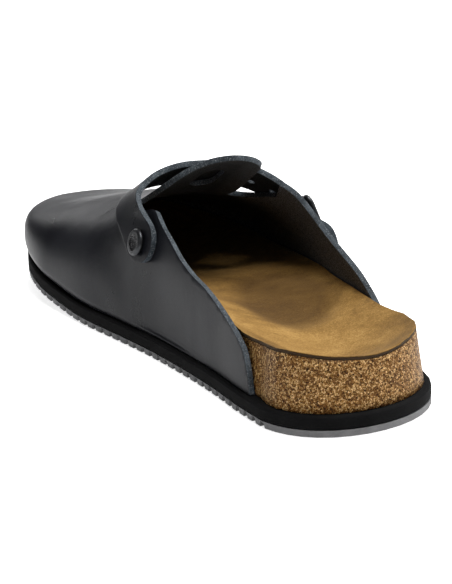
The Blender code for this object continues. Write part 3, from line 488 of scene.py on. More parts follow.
def make_cork():
    material, tree, shader = start_material("sealed_cork", 0.45, specular=0.10)
    spots = wobbled(tree, object_place(tree), 700.0, 0.0011)
    coarse, fine = {"Vector": spots, "Scale": 1450.0}, {"Vector": spots, "Scale": 3500.0}
    large = add_node(tree, "ShaderNodeTexVoronoi", coarse).outputs["Color"]
    small = add_node(tree, "ShaderNodeTexVoronoi", fine).outputs["Color"]
    big_tone = add_node(tree, "ShaderNodeSeparateColor", {"Color": large}).outputs["Red"]
    small_tone = add_node(tree, "ShaderNodeSeparateColor", {"Color": small}).outputs["Green"]
    both = plus(tree, times(tree, big_tone, 0.5), times(tree, small_tone, 0.5))
    crumbs = ramp(tree, both,
                  ((0.16, (0.012, 0.005, 0.001)), (0.32, (0.075, 0.028, 0.006)),
                   (0.48, (0.195, 0.083, 0.018)), (0.64, (0.350, 0.170, 0.045)),
                   (0.82, (0.800, 0.540, 0.240))))
    edges = add_node(tree, "ShaderNodeTexVoronoi", coarse, feature="DISTANCE_TO_EDGE")
    seams = edges.outputs["Distance"]
    glue = remap(tree, seams, 0.0, 0.10, 0.55, 0.0)
    height = plus(tree, remap(tree, seams, 0.0, 0.16, 0.0, 1.0), small_tone)
    set_inputs(tree, shader, {
        "Base Color": mix_colour(tree, glue, crumbs, (0.080, 0.040, 0.010, 1.0)),
        "Normal": bump(tree, height, 0.5, 0.00022),
        "Roughness": remap(tree, both, 0.1, 0.9, 0.55, 0.34),
        "Coat Weight": 0.03,
        "Coat Roughness": 0.25,
    })
    return material


suede = make_suede()
cork = make_cork()
print("bed:", suede.name, cork.name)

# %% [markdown]
# The foam layer is matt and nearly black, with fine closed cells. The tread is mid grey rubber,
# cloudy, dusty and finely rough. The metal is blackened: dark, satin, and a touch brighter where
# it is worn. The strap's rivet has a dished middle that looks hammered, so it is made rougher
# and darker than the rim, with bright specks painted in as glints on its dents.

# %% Foam, tread rubber and blackened metal
DISH_RADIUS = 0.0036
DISH_BLEND = 0.0004


def make_foam():
    material, tree, shader = start_material("black_foam", 0.85, specular=0.08)
    place = object_place(tree)
    cells = add_node(tree, "ShaderNodeTexVoronoi", {"Vector": place, "Scale": 2600.0})
    tone = ramp(tree, noise_value(tree, place, 90.0, 4.0),
                ((0.35, (0.0030, 0.0030, 0.0032)), (0.70, (0.0060, 0.0060, 0.0062))))
    set_inputs(tree, shader, {
        "Base Color": dusty(tree, place, tone, 1600.0, 0.10, (0.06, 0.06, 0.06)),
        "Normal": bump(tree, cells.outputs["Distance"], 0.35, 0.00018),
    })
    return material


def make_tread():
    material, tree, shader = start_material("tread_rubber", 0.72, specular=0.35)
    place = object_place(tree)
    tone = ramp(tree, noise_value(tree, place, 120.0, 5.0, 0.65),
                ((0.30, (0.125, 0.125, 0.128)), (0.55, (0.165, 0.165, 0.168)),
                 (0.75, (0.215, 0.215, 0.218))))
    set_inputs(tree, shader, {
        "Base Color": dusty(tree, place, tone, 1300.0, 0.35, (0.34, 0.33, 0.32)),
        "Normal": bump(tree, noise_value(tree, place, 1900.0, 3.0, 0.6), 0.4, 0.00016),
    })
    return material


def make_blackened_metal(name, dish=None):
    """A dish is the centre and the radius of a head's hammered, darker middle."""
    material, tree, shader = start_material(name, 0.34, metallic=0.85)
    place = object_place(tree)
    wear = noise_value(tree, place, 520.0, 5.0, 0.7)
    tone = ramp(tree, wear,
                ((0.35, (0.030, 0.031, 0.034)), (0.60, (0.052, 0.054, 0.058)),
                 (0.80, (0.120, 0.122, 0.128))))
    colour = dusty(tree, place, tone, 1500.0, 0.15, (0.16, 0.16, 0.16))
    gloss = remap(tree, wear, 0.3, 0.75, 0.46, 0.28)
    normal = bump(tree, noise_value(tree, place, 1500.0, 2.0), 0.12, 0.0001)
    if dish:
        centre, radius = dish
        away = add_node(tree, "ShaderNodeVectorMath", {0: place, 1: centre}, operation="DISTANCE")
        middle = remap(tree, away.outputs["Value"], radius, radius + DISH_BLEND, 1.0, 0.0)
        # Painted glints: bright specks in the dish's colour stand in for highlights on its hammered
        # dents
        painted_glints = remap(tree, noise_value(tree, place, 2300.0, 2.0, 0.6), 0.54, 0.66, 0.0, 0.9)
        hammered = mix_colour(tree, painted_glints, (0.012, 0.012, 0.013, 1.0), (0.30, 0.30, 0.31, 1.0))
        colour = mix_colour(tree, middle, colour, hammered)
        gloss = math_value(tree, "MAXIMUM", gloss, times(tree, middle, 0.6))
        dents = times(tree, noise_value(tree, place, 1900.0, 2.0), middle)
        normal = bump(tree, dents, 0.7, 0.0004, normal)
    set_inputs(tree, shader, {"Base Color": colour, "Roughness": gloss, "Normal": normal})
    return material


def middle_of(node):
    points = [v.co for v in nodes[node].data.vertices]
    return tuple(sum(p[axis] for p in points) / len(points) for axis in range(3))


foam = make_foam()
tread = make_tread()
blackened_metal = make_blackened_metal("blackened_metal")
rivet_metal = make_blackened_metal("rivet_metal", (middle_of("strap_rivet"), DISH_RADIUS))
print("sole and metal:", foam.name, tread.name, blackened_metal.name, rivet_metal.name)

# %% [markdown]
# ## Pieces made from their solids
# The foam layer, the rivets, the buckle and its chape are right as solids, and the tread, the
# footbed and the insole nearly so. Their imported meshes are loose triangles, so shading would
# show every facet. A copy is merged, smoothed by angle and given a small soft edge, and then
# stands in for the node. On the way the bed gets the hollow of the heel and a low ridge behind
# the toes, and the tread gets deeper grooves, because the photograph's teeth stand out further
# than the solid's 1.4 mm.

# %% Merged, softened copies
SAME_POINT = 2e-6
FLAT_ENOUGH = math.radians(12)
SQUARE_ENOUGH = math.radians(60)


def dress(node, material, smooth_angle, edge=0.0, edge_angle=0.0, shape=None):
    shell = bmesh.new()
    shell.from_mesh(nodes[node].data)
    bmesh.ops.remove_doubles(shell, verts=shell.verts, dist=SAME_POINT)
    bmesh.ops.join_triangles(shell, faces=shell.faces, angle_face_threshold=FLAT_ENOUGH,
                             angle_shape_threshold=SQUARE_ENOUGH)
    if shape:
        shape(shell)
    piece = link_new(f"{node}_finished", shell)
    mesh = piece.data
    mesh.materials.append(material)
    mesh.shade_smooth()
    mesh.set_sharp_from_angle(angle=math.radians(smooth_angle))
    if edge:
        add_bevel(piece, edge, edge_angle)
    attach(piece, "root")
    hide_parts(node)
    print(piece.name, len(mesh.polygons), "faces")


# %% The hollow and the ridge of the bed
FOOTBED_UNDERSIDE = 0.011
BED_SLOPE = 0.6
HOLLOW_X, HOLLOW_Y = 0.017, 0.098
HOLLOW_HALF_WIDTH, HOLLOW_HALF_LENGTH = 0.022, 0.040
# The hollow starts at a share of its half sizes and reaches its depth within a further share
HOLLOW_START, HOLLOW_WALL = 1.12, 0.38
HOLLOW_DEPTH = 0.0017
RIDGE_X, RIDGE_Y = 0.008, 0.152
RIDGE_HALF_WIDTH, RIDGE_HALF_LENGTH = 0.024, 0.0040
RIDGE_HEIGHT = 0.0007


def press_relief(shell):
    """Evens out the bed's top, then presses the heel's hollow in and the toes' ridge out."""
    bmesh.ops.subdivide_edges(shell, edges=shell.edges, cuts=2, use_grid_fill=True)
    bed = [v for v in shell.verts if all(f.normal.z > BED_SLOPE for f in v.link_faces)]
    for _ in range(5):
        bmesh.ops.smooth_vert(shell, verts=bed, factor=0.5, use_axis_x=True, use_axis_y=True,
                              use_axis_z=True)
    cosine, sine = math.cos(HOLLOW_TURN), math.sin(HOLLOW_TURN)
    for vertex in [v for v in shell.verts if v.co.z > FOOTBED_UNDERSIDE]:
        x, y = vertex.co.x - HOLLOW_X, vertex.co.y - HOLLOW_Y
        away = math.hypot((x * cosine + y * sine) / HOLLOW_HALF_WIDTH,
                          (y * cosine - x * sine) / HOLLOW_HALF_LENGTH)
        cup = min(max((HOLLOW_START - away) / HOLLOW_WALL, 0.0), 1.0)
        ridge = math.exp(-((vertex.co.y - RIDGE_Y) / RIDGE_HALF_LENGTH) ** 2
                         - ((vertex.co.x - RIDGE_X) / RIDGE_HALF_WIDTH) ** 4)
        vertex.co.z += RIDGE_HEIGHT * ridge - HOLLOW_DEPTH * cup * cup * (3 - 2 * cup)


# %% The grooves of the tread
GROOVE_EXTRA = 0.0008
# Limits on a normal: a roof faces down, and a wall faces along the shoe
ROOF_Z, WALL_Z, WALL_Y = -0.9, -0.75, 0.7
# An edge shorter than this that rises by more than the step belongs to the roof too
ROOF_EDGE, ROOF_STEP = 0.0007, 0.0002


def deepen_grooves(shell):
    """Lifts the roof of each groove: the corners where a wall meets it, and the short edges that
    rise from them."""
    corners = set()
    for edge in shell.edges:
        if len(edge.link_faces) == 2:
            wall, roof = sorted(edge.link_faces, key=lambda face: face.normal.z, reverse=True)
            middle = (edge.verts[0].co.z + edge.verts[1].co.z) / 2
            if roof.normal.z < ROOF_Z and wall.normal.z > WALL_Z:
                if abs(wall.normal.y) > WALL_Y and wall.calc_center_median().z < middle:
                    corners.update(edge.verts)
    lifted = set(corners)
    for vertex in corners:
        for edge in vertex.link_edges:
            other = edge.other_vert(vertex)
            if edge.calc_length() < ROOF_EDGE and other.co.z > vertex.co.z + ROOF_STEP:
                lifted.add(other)
    for vertex in lifted:
        vertex.co.z += GROOVE_EXTRA
    print("groove corners lifted:", len(lifted))


# %% Dress nine pieces
dress("outsole", tread, 28, 0.00018, 28, shape=deepen_grooves)
dress("midsole", foam, 40, 0.0003, 40)
dress("footbed", cork, 50, shape=press_relief)
dress("insole", suede, 50, shape=press_relief)
dress("strap_rivet", rivet_metal, 50)
dress("chape_rivet", blackened_metal, 50)
dress("buckle_prong", blackened_metal, 60)
dress("buckle_chape", smooth_leather, 45, 0.00015, 45)
dress("buckle_frame", blackened_metal, 70)

# %% [markdown]
# ## The last: the form under the leather
# A shoemaker pulls flat leather over a wooden last. The upper could be sculpted directly, but
# then its raw edges and its wall would each need their own work. So it is made here as the
# shoemaker does: a flat pattern is cut, pulled over the last and given its thickness. The last
# is described by the sole's outline and by a few cross-sections, in shares of the main sizes.

# %% Main sizes and a smooth reading of a table
LENGTH = 0.288
BALL_WIDTH = 0.102
INSTEP_RISE = 0.0682
TOE_SPRING = 0.015
HEEL_PATCH = 0.014
OUTSOLE_THICKNESS = 0.0027
MIDSOLE_THICKNESS = 0.005
GAP = 0.0003
LEATHER = 0.0022
LEDGE = 0.002
SOLE_TOP = OUTSOLE_THICKNESS + GAP + MIDSOLE_THICKNESS + GAP
HALF_BALL = BALL_WIDTH / 2


def smooth(rows, column, at, steady=False):
    """A smooth curve through one column of a table, read at places of its first column. A steady
    one stays between neighbouring rows."""
    places = np.array([row[0] for row in rows])
    values = np.array([row[column] for row in rows])
    slopes = np.gradient(values, places)
    if steady:
        secants = np.diff(values) / np.diff(places)
        before = np.append(secants[0], secants)
        after = np.append(secants, secants[-1])
        limit = 3 * np.minimum(abs(before), abs(after)) * (before * after > 0)
        slopes = np.clip(slopes, -limit, limit)
    at = np.clip(np.asarray(at, float), places[0], places[-1])
    cell = np.clip(np.searchsorted(places, at) - 1, 0, len(places) - 2)
    step = places[cell + 1] - places[cell]
    t = (at - places[cell]) / step
    rise = values[cell] * (1 - t) ** 2 * (1 + 2 * t) + values[cell + 1] * t**2 * (3 - 2 * t)
    return rise + step * (slopes[cell] * t * (1 - t) ** 2 - slopes[cell + 1] * t**2 * (1 - t))


def through(points, steps):
    """A smooth open curve through points, with a number of steps between each two."""
    points = np.asarray(points, float)
    spans = np.sqrt(np.linalg.norm(np.diff(points, axis=0), axis=1))
    places = np.concatenate([[0.0], np.cumsum(spans)])
    at = np.concatenate([np.linspace(a, b, steps, endpoint=False) for a, b in zip(places, places[1:])])
    at = np.append(at, places[-1])
    columns = [smooth(list(zip(places, points[:, i])), 1, at) for i in range(points.shape[1])]
    return np.stack(columns, axis=-1)


print("sole top", round(SOLE_TOP * 1000, 2), "mm")

# %% [markdown]
# The outline of the sole is the base of everything above it. It is a centre line and a half
# width, rounded off at heel and toe by ellipses, and it can be read at any inset.

# %% The outline of the sole
HEEL_END = 0.104
TOE_END = 0.229
SPRING_START = 0.59
OUTLINE_POINTS = 241
BALL_POINT = 150
OUTLINE = (
    # along, centre, half width
    (0.00, -0.030, 0.668), (0.05, 0.010, 0.668), (0.10, 0.036, 0.690), (0.16, 0.058, 0.728),
    (0.25, 0.064, 0.733), (0.35, 0.076, 0.770), (0.45, 0.090, 0.832), (0.56, 0.086, 0.914),
    (0.66, 0.068, 0.986), (0.75, 0.044, 1.006), (0.82, 0.006, 1.006), (0.88, -0.044, 1.006),
    (0.93, -0.084, 1.006), (1.00, -0.108, 1.006),
)


def spring(y):
    """How far the sole has risen off the floor towards the toe."""
    start = SPRING_START * LENGTH
    return TOE_SPRING * np.clip((y - start) / (LENGTH - start), 0, None) ** 2


def rounded(distance, radius, power=2.0):
    """From 0 at an end to 1 at the radius, as the quarter of a superellipse."""
    reach = np.clip(1 - distance / radius, 0, 1)
    return (1 - reach**power) ** (1 / power)


def outline_side(side, inset):
    """One side of the outline, moved inwards, as places along and across. Side is -1 or 1."""
    share = (1 - np.cos(np.linspace(0, math.pi, OUTLINE_POINTS))) / 2
    y = share * LENGTH
    half = smooth(OUTLINE, 2, share) * HALF_BALL
    half = half * rounded(y, HEEL_END * LENGTH) * rounded(LENGTH - y, TOE_END * LENGTH)
    x = smooth(OUTLINE, 1, share) * HALF_BALL + side * half
    # The ends turn at right angles to the length, so the slope there is that of the tip
    run = np.stack([np.gradient(x), np.gradient(y)], axis=-1)
    run[0] = (side, 0)
    run[-1] = (-side, 0)
    run /= np.linalg.norm(run, axis=1)[:, None]
    amount = inset(share) if callable(inset) else inset
    return y + side * run[:, 0] * amount, x - side * run[:, 1] * amount


across_ball = [outline_side(side, 0.0)[1][BALL_POINT] for side in (-1, 1)]
print("width at the ball", round(float(np.ptp(across_ball)), 4))

# %% [markdown]
# Each cross-section of the last is half a superellipse between the two sides of the sole: its
# crest height, the place of the crest and its fullness change along the shoe. Below it a narrow
# skirt of leather tucks in to the ledge of the sole.

# %% The last's sections, surface and normal
LAST = (
    # along, crest, across, inner fullness, outer fullness, inset
    (0.100, 0.870, 0.46, 2.3, 2.2, 0.0024),
    (0.280, 0.935, 0.46, 2.3, 2.2, 0.0024),
    (0.390, 0.990, 0.46, 2.3, 2.18, 0.0024),
    (0.440, 1.006, 0.46, 2.3, 2.14, 0.0024),
    (0.476, 1.000, 0.46, 2.3, 2.11, 0.0022),
    (0.503, 0.962, 0.46, 2.3, 2.1, 0.0020),
    (0.556, 0.850, 0.46, 2.3, 2.08, 0.0016),
    (0.590, 0.766, 0.45, 2.3, 2.1, 0.0012),
    (0.625, 0.688, 0.45, 2.3, 2.1, 0.0008),
    (0.688, 0.594, 0.46, 2.35, 2.2, 0.0002),
    (0.740, 0.530, 0.47, 2.4, 2.3, -0.0003),
    (0.785, 0.470, 0.46, 2.5, 2.3, -0.0007),
    (0.840, 0.378, 0.43, 2.7, 2.2, -0.0008),
    (0.885, 0.304, 0.38, 2.9, 2.1, -0.0008),
    (0.930, 0.244, 0.32, 3.1, 2.0, -0.0006),
    (1.000, 0.176, 0.28, 3.2, 1.9, -0.0004),
)
SKIRT_TURN = 20.0
NO_TUCK = 1e-9
SKIRT_HEIGHTS = ((0.10, 0.0015), (0.45, 0.0020), (0.80, 0.0060), (0.92, 0.0070), (1.00, 0.0062))
NOSE_LENGTH = 0.031
NOSE_POWER = 2.3
# A normal is read across these steps of turn and share, and stays inside the last's ends
TURN_STEP = 0.5
SHARE_STEP = 0.0012
TURN_MARGIN = 0.6
SHARE_LIMITS = (0.02, 0.9985)


def last_frame(share):
    """What the last's section needs at each share of the length."""
    inset = smooth(LAST, 5, share)
    y = share * (LENGTH - inset)
    sides = []
    for side in (-1, 1):
        along, x = outline_side(side, lambda s: smooth(LAST, 5, s))
        sides.append(np.interp(y, along, x))
    left, right = sides
    centre = left + smooth(LAST, 2, share) * (right - left)
    base = SOLE_TOP + spring(y)
    widest = base + smooth(SKIRT_HEIGHTS, 1, share)
    crest = base + smooth(LAST, 1, share) * INSTEP_RISE
    nose = rounded((LENGTH - inset) - y, NOSE_LENGTH, NOSE_POWER)
    crest = widest + (crest - widest) * nose
    powers = smooth(LAST, 3, share), smooth(LAST, 4, share)
    return y, left, right, centre, base, widest, crest, powers, inset


def last_surface(turn, share):
    """The upper's outer face. Turn runs from 0 on the inner side to 180 on the outer side, and
    the skirt below it to SKIRT_TURN more at each end."""
    turn, share = np.broadcast_arrays(np.asarray(turn, float), np.asarray(share, float))
    shape = turn.shape
    turn, share = turn.ravel(), np.clip(share.ravel(), 0, 1)
    y, left, right, centre, base, widest, crest, powers, inset = last_frame(share)
    power = np.where(turn < 90, *powers)
    angle = np.radians(np.clip(turn, 0, 180))
    cosine, sine = np.cos(angle), np.sin(angle)
    reach = np.where(cosine > 0, centre - left, right - centre)
    x = centre - np.sign(cosine) * reach * np.abs(cosine) ** (2 / power)
    z = widest + (crest - widest) * np.clip(sine, 0, 1) ** (2 / power)
    drop = np.clip(np.where(turn < 90, -turn, turn - 180) / SKIRT_TURN, 0, 1)
    # Where the leather already stands inside the ledge, the skirt goes straight down
    tuck = np.where(LEDGE - inset > NO_TUCK, drop**2, 0)
    for side in (-1, 1):
        below = (drop > 0) & ((turn > 90) == (side > 0))
        along, shelf = outline_side(side, LEDGE)
        edge_y = share * (LENGTH - LEDGE)
        edge_x = np.interp(edge_y, along, shelf)
        rim_x = left if side < 0 else right
        x = np.where(below, rim_x + (edge_x - rim_x) * tuck, x)
        y = np.where(below, y + (edge_y - y) * tuck, y)
    z = np.where(drop > 0, widest + (base - widest) * drop, z)
    return np.stack([x, y, z], axis=-1).reshape(*shape, 3)


def last_normal(turn, share):
    """Outward normals of the last, by central differences."""
    turn = np.clip(np.asarray(turn, float), -SKIRT_TURN + TURN_MARGIN,
                   180 + SKIRT_TURN - TURN_MARGIN)
    share = np.clip(np.asarray(share, float), *SHARE_LIMITS)
    round_about = last_surface(turn + TURN_STEP, share) - last_surface(turn - TURN_STEP, share)
    forward = last_surface(turn, share + SHARE_STEP) - last_surface(turn, share - SHARE_STEP)
    normal = np.cross(round_about, forward)
    normal /= np.linalg.norm(normal, axis=-1)[..., None]
    return normal


print("crest at the instep", np.round(last_surface(90.0, 0.44), 4))

# %% [markdown]
# ## The pattern of the upper
# The collar, the two slits and the end of the tab are one cut in the flat leather, and the oval
# slot in the tab is another. Each row below says where the raw edge lies on the finished shoe,
# and two helpers find the place on the flat pattern.

# %% Raw edges on the pattern
PATTERN_DEGREE = 0.0008
PATTERN_REAR = 0.125
INNER_QUARTER = (
    # along, rise
    (0.140, -0.060), (0.144, 0.060), (0.149, 0.140), (0.161, 0.228), (0.186, 0.289),
    (0.240, 0.366), (0.299, 0.438), (0.344, 0.475), (0.382, 0.523), (0.420, 0.590),
    (0.462, 0.663), (0.493, 0.714),
)
OUTER_QUARTER = (
    # along, rise
    (0.220, -0.060), (0.223, 0.060), (0.229, 0.150), (0.242, 0.225), (0.260, 0.290),
    (0.300, 0.385), (0.350, 0.440), (0.398, 0.482), (0.440, 0.542), (0.474, 0.630),
    (0.491, 0.704), (0.514, 0.752),
)
INNER_SLIT = (
    # along, across
    (0.498, -0.545), (0.540, -0.562), (0.590, -0.560), (0.635, -0.548), (0.658, -0.533),
    (0.662, -0.500), (0.650, -0.472), (0.620, -0.448), (0.585, -0.420), (0.552, -0.380),
    (0.530, -0.332),
)
TAB_END = (
    # along, across
    (0.515, -0.258), (0.497, -0.164), (0.483, -0.040), (0.476, 0.090), (0.474, 0.210),
    (0.480, 0.310), (0.495, 0.385),
)
OUTER_SLIT = (
    # along, across
    (0.525, 0.415), (0.565, 0.428), (0.605, 0.430), (0.635, 0.434), (0.654, 0.452),
    (0.660, 0.486), (0.654, 0.520), (0.630, 0.560), (0.598, 0.620), (0.560, 0.675),
)
SLOT_CENTRE = (0.570, 0.080)
SLOT_LENGTH = 0.018
SLOT_WIDTH = 0.009
CUT_STEPS = 6
HALF_ROUND = np.linspace(0, math.pi, 13)


def turn_at_rise(side, share, rise):
    """The turn at which a quarter has a height above the sole, and below it a part of the skirt."""
    share = np.asarray(share, float)
    _, _, _, _, base, widest, crest, powers, _ = last_frame(share)
    power = powers[0] if side < 0 else powers[1]
    z = base + np.asarray(rise) * INSTEP_RISE
    high = np.clip((z - widest) / (crest - widest), 0, 1) ** (power / 2)
    turn = np.degrees(np.arcsin(high)) - SKIRT_TURN * np.clip((widest - z) / (widest - base), 0, 3)
    return turn if side < 0 else 180 - turn


def turn_at_x(share, x):
    """The turn at which the last has a place across the shoe."""
    _, left, right, centre, _, _, _, powers, _ = last_frame(np.asarray(share, float))
    x = np.asarray(x, float)
    power = np.where(x < centre, *powers)
    reach = np.where(x < centre, centre - left, right - centre)
    cosine = np.sign(centre - x) * np.clip(np.abs(centre - x) / reach, 0, 1) ** (power / 2)
    return np.degrees(np.arccos(cosine))


def pattern_point(turn, share):
    return np.stack([turn * PATTERN_DEGREE, share * LENGTH], axis=-1)


def opening_outline():
    """The collar, the two slits and the tab's end as one closed line on the flat pattern."""
    runs = []
    for side, rows in ((-1, INNER_QUARTER), (1, OUTER_QUARTER)):
        share, rise = np.array(rows).T
        runs.append(pattern_point(turn_at_rise(side, share, rise), share))
    for rows in (INNER_SLIT, TAB_END, OUTER_SLIT):
        share, place = np.array(rows).T
        runs.append(pattern_point(turn_at_x(share, place * HALF_BALL), share))
    inner, outer, inner_slit, tab, outer_slit = runs
    middle = np.concatenate([inner_slit, tab, outer_slit])
    inner, middle, outer = (through(rows, CUT_STEPS) for rows in (inner, middle, outer))
    return np.concatenate([inner, middle, outer[::-1]])


def slot_outline():
    """A long hole with round ends in the tab, under the strap."""
    share, place = SLOT_CENTRE
    centre = pattern_point(turn_at_x(share, place * HALF_BALL), share)
    straight = (SLOT_LENGTH - SLOT_WIDTH) / 2
    points = []
    for end, start in ((1, 0.0), (-1, math.pi)):
        for angle in start + HALF_ROUND:
            points.append(centre + np.array([math.cos(angle), math.sin(angle)]) * SLOT_WIDTH / 2
                          + np.array([0, end * straight]))
    return np.array(points)


print("points on the collar, slits and tab:", len(opening_outline()))

# %% [markdown]
# ## Cutting a flat sheet
# A sheet of leather is a grid. It is given a thickness, its shape is cut out with an exact
# Boolean, and then only its top face is kept, because the thickness is added again after the
# sheet has been pulled into shape. Grid points that lie almost on a cut would leave slivers that
# catch the light, so they are welded to the cut's own points.

# %% A blank of leather and its cutters
BLANK_DEPTH = 0.001
CUTTER_HALF_HEIGHT = 0.004


def thicken(shell, faces, rise, keep):
    """Extrudes faces straight up or down into a closed solid whose normals point outwards."""
    grown = bmesh.ops.extrude_face_region(shell, geom=faces, use_keep_orig=keep)
    moved = [v for v in grown["geom"] if isinstance(v, bmesh.types.BMVert)]
    bmesh.ops.translate(shell, verts=moved, vec=(0, 0, rise))
    bmesh.ops.recalc_face_normals(shell, faces=shell.faces)


def flat_prism(name, outline):
    body = bmesh.new()
    rim = [body.verts.new((x, y, -CUTTER_HALF_HEIGHT)) for x, y in outline]
    thicken(body, [body.faces.new(rim)], 2 * CUTTER_HALF_HEIGHT, False)
    return link_new(name, body)


def make_blank(name, columns, rows):
    """A thin slab whose grid lines lie at the columns and rows."""
    sheet = bmesh.new()
    across, along = len(columns) - 1, len(rows) - 1
    bmesh.ops.create_grid(sheet, x_segments=across, y_segments=along, size=1.0)
    for vertex in sheet.verts:
        vertex.co.x = np.interp((vertex.co.x + 1) / 2 * across, range(len(columns)), columns)
        vertex.co.y = np.interp((vertex.co.y + 1) / 2 * along, range(len(rows)), rows)
    thicken(sheet, list(sheet.faces), -BLANK_DEPTH, True)
    return link_new(name, sheet)


def cut_out(blank, cuts):
    """The mesh that the cuts leave of a blank. The blank and its cutters are removed."""
    cutters = []
    for cut_name, outline, operation in cuts:
        cutters.append(flat_prism(cut_name, outline))
        cut = blank.modifiers.new(cut_name, "BOOLEAN")
        cut.object = cutters[-1]
        cut.operation = operation
        cut.solver = "EXACT"
    bpy.context.view_layer.update()
    finished = blank.evaluated_get(bpy.context.evaluated_depsgraph_get())
    mesh = bpy.data.meshes.new_from_object(finished)
    for used in [blank, *cutters]:
        bpy.data.objects.remove(used)
    return mesh


# %% The top of a cut sheet, without slivers
def rim_of(top):
    """The points on the sheet's borders, in the mesh's own order, which is the same each run."""
    return [v for v in top.verts if any(e.is_boundary for e in v.link_edges)]


def weld_to_rim(top, weld):
    """Joins the points that lie almost on a cut to its nearest point, and counts them."""
    bmesh.ops.remove_doubles(top, verts=rim_of(top), dist=weld / 2)
    rim = rim_of(top)
    on_rim = set(rim)
    border = np.array([v.co for v in rim])
    targets = {}
    for vertex in [v for v in top.verts if v not in on_rim]:
        gaps = np.linalg.norm(border - np.array(vertex.co), axis=1)
        if gaps.min() < weld:
            targets[vertex] = rim[int(gaps.argmin())]
    bmesh.ops.weld_verts(top, targetmap=targets)
    bmesh.ops.triangulate(top, faces=[f for f in top.faces if len(f.verts) > 4])
    return len(targets)


def drop_slivers(top, thinnest):
    """Deletes faces on the rim that are thinner than a width, and the points left loose."""
    for _ in range(3):
        thin = []
        for face in top.faces:
            longest = max(e.calc_length() for e in face.edges)
            if 2 * face.calc_area() / longest < thinnest and any(e.is_boundary for e in face.edges):
                thin.append(face)
        bmesh.ops.delete(top, geom=thin, context="FACES")
    bmesh.ops.delete(top, geom=[v for v in top.verts if not v.link_faces], context="VERTS")


def cut_sheet(name, columns, rows, cuts, weld):
    top = bmesh.new()
    top.from_mesh(cut_out(make_blank(name, columns, rows), cuts))
    below = [f for f in top.faces if min(v.co.z for v in f.verts) < -BLANK_DEPTH / 2]
    bmesh.ops.delete(top, geom=below, context="FACES")
    welded = weld_to_rim(top, weld)
    drop_slivers(top, weld / 3)
    print(name, len(top.faces), "faces,", welded, "points welded to the cuts")
    return top


# %% [markdown]
# ## The creases
# Leather that has been pulled over a last and worn for an hour is not perfectly even. Six soft
# troughs are laid in, two across the vamp where the toes bend and two down each quarter,
# with a low ridge on either side of each. They are lines on the last, and each pushes the
# leather in along the last's normal by less than a millimetre.

# %% Soft troughs and ridges
CREASES = (
    # turn and share at the start, turn and share at the end, width, depth
    (38.0, 0.690, 128.0, 0.678, 0.0050, 0.00030),
    (52.0, 0.722, 116.0, 0.712, 0.0046, 0.00020),
    (10.0, 0.520, 3.0, 0.330, 0.0085, 0.00055),
    (24.0, 0.600, 14.0, 0.520, 0.0065, 0.00035),
    (172.0, 0.520, 177.0, 0.360, 0.0085, 0.00050),
    (150.0, 0.640, 163.0, 0.560, 0.0070, 0.00030),
)
# A ridge's height is a share of the trough's depth; its place and spread are in widths
RIDGE_SHARE = 0.45
RIDGE_PLACE = 1.7
RIDGE_SPREAD = 0.7
# A crease fades towards its ends but keeps a little depth there
FADE_ENDS = (0.04, 0.96)


def crease_depth(turn, share):
    place = pattern_point(turn, share)
    depth = np.zeros(len(place))
    for start_turn, start, end_turn, end, width, deep in CREASES:
        first = pattern_point(np.array(start_turn), start)
        run = pattern_point(np.array(end_turn), end) - first
        along = np.clip((place - first) @ run / (run @ run), 0, 1)
        away = np.linalg.norm(place - first - along[:, None] * run, axis=1) / width
        fade = np.sin(np.pi * np.clip(along, *FADE_ENDS)) ** 0.5
        ridge = RIDGE_SHARE * np.exp(-((away - RIDGE_PLACE) / RIDGE_SPREAD) ** 2)
        depth += deep * fade * (np.exp(-away**2) - ridge)
    return depth


print("creases:", len(CREASES))

# %% [markdown]
# ## The upper
# The flat pattern is pulled over the last point by point. The two sides of the nose meet in one
# line and are joined there. A Solidify modifier gives the wall, with the flesh side and the raw
# edge in their own materials, and a Bevel rounds the cut edges a little. The flat place of each
# point is kept as the UV map.

# %% From a flat sheet to a piece of leather
SHEET_EDGE = 0.0004
SHEET_EDGE_ANGLE = 48
NOSE_SEAM = 2e-5


def finish_sheet(top, name, pull, thickness, flesh, replaced):
    """Writes the flat places as the UV map, pulls the sheet into shape and gives it its wall."""
    flat_map = top.loops.layers.uv.new("pattern")
    for face in top.faces:
        face.smooth = True
        for loop in face.loops:
            loop[flat_map].uv = (loop.vert.co.x, loop.vert.co.y)
    places = pull(np.array([v.co for v in top.verts]))
    for vertex, place in zip(top.verts, places):
        vertex.co = place
    bmesh.ops.remove_doubles(top, verts=top.verts, dist=NOSE_SEAM)
    bmesh.ops.translate(top, verts=top.verts, vec=(0, -HEEL_PATCH, 0))
    piece = link_new(name, top)
    for material in (smooth_leather, flesh, raw_edge):
        piece.data.materials.append(material)
    wall = piece.modifiers.new("wall", "SOLIDIFY")
    wall.thickness = thickness
    wall.offset = -1.0
    wall.use_even_offset = False
    # The wall's far face takes the second material, and its rim the third
    wall.material_offset = 1
    wall.material_offset_rim = 2
    add_bevel(piece, SHEET_EDGE, SHEET_EDGE_ANGLE)
    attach(piece, "root")
    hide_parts(replaced)
    print(name, len(piece.data.polygons), "faces before its wall")


# %% Make the upper
UPPER_COLUMNS = 105
UPPER_ROWS = 96
NOSE_ROWS = 34
UPPER_WELD = 0.0007
# The rows crowd together from this many nose lengths before the tip
CROWDED_FROM = 1.35
TIP_SHARE = 0.9999
PAST_REAR = 0.01


def pull_upper(flat):
    turn = flat[:, 0] / PATTERN_DEGREE
    share = flat[:, 1] / LENGTH
    normal = last_normal(turn, share)
    normal[share > TIP_SHARE] = (0, 1, 0)
    return last_surface(turn, share) - normal * crease_depth(turn, share)[:, None]


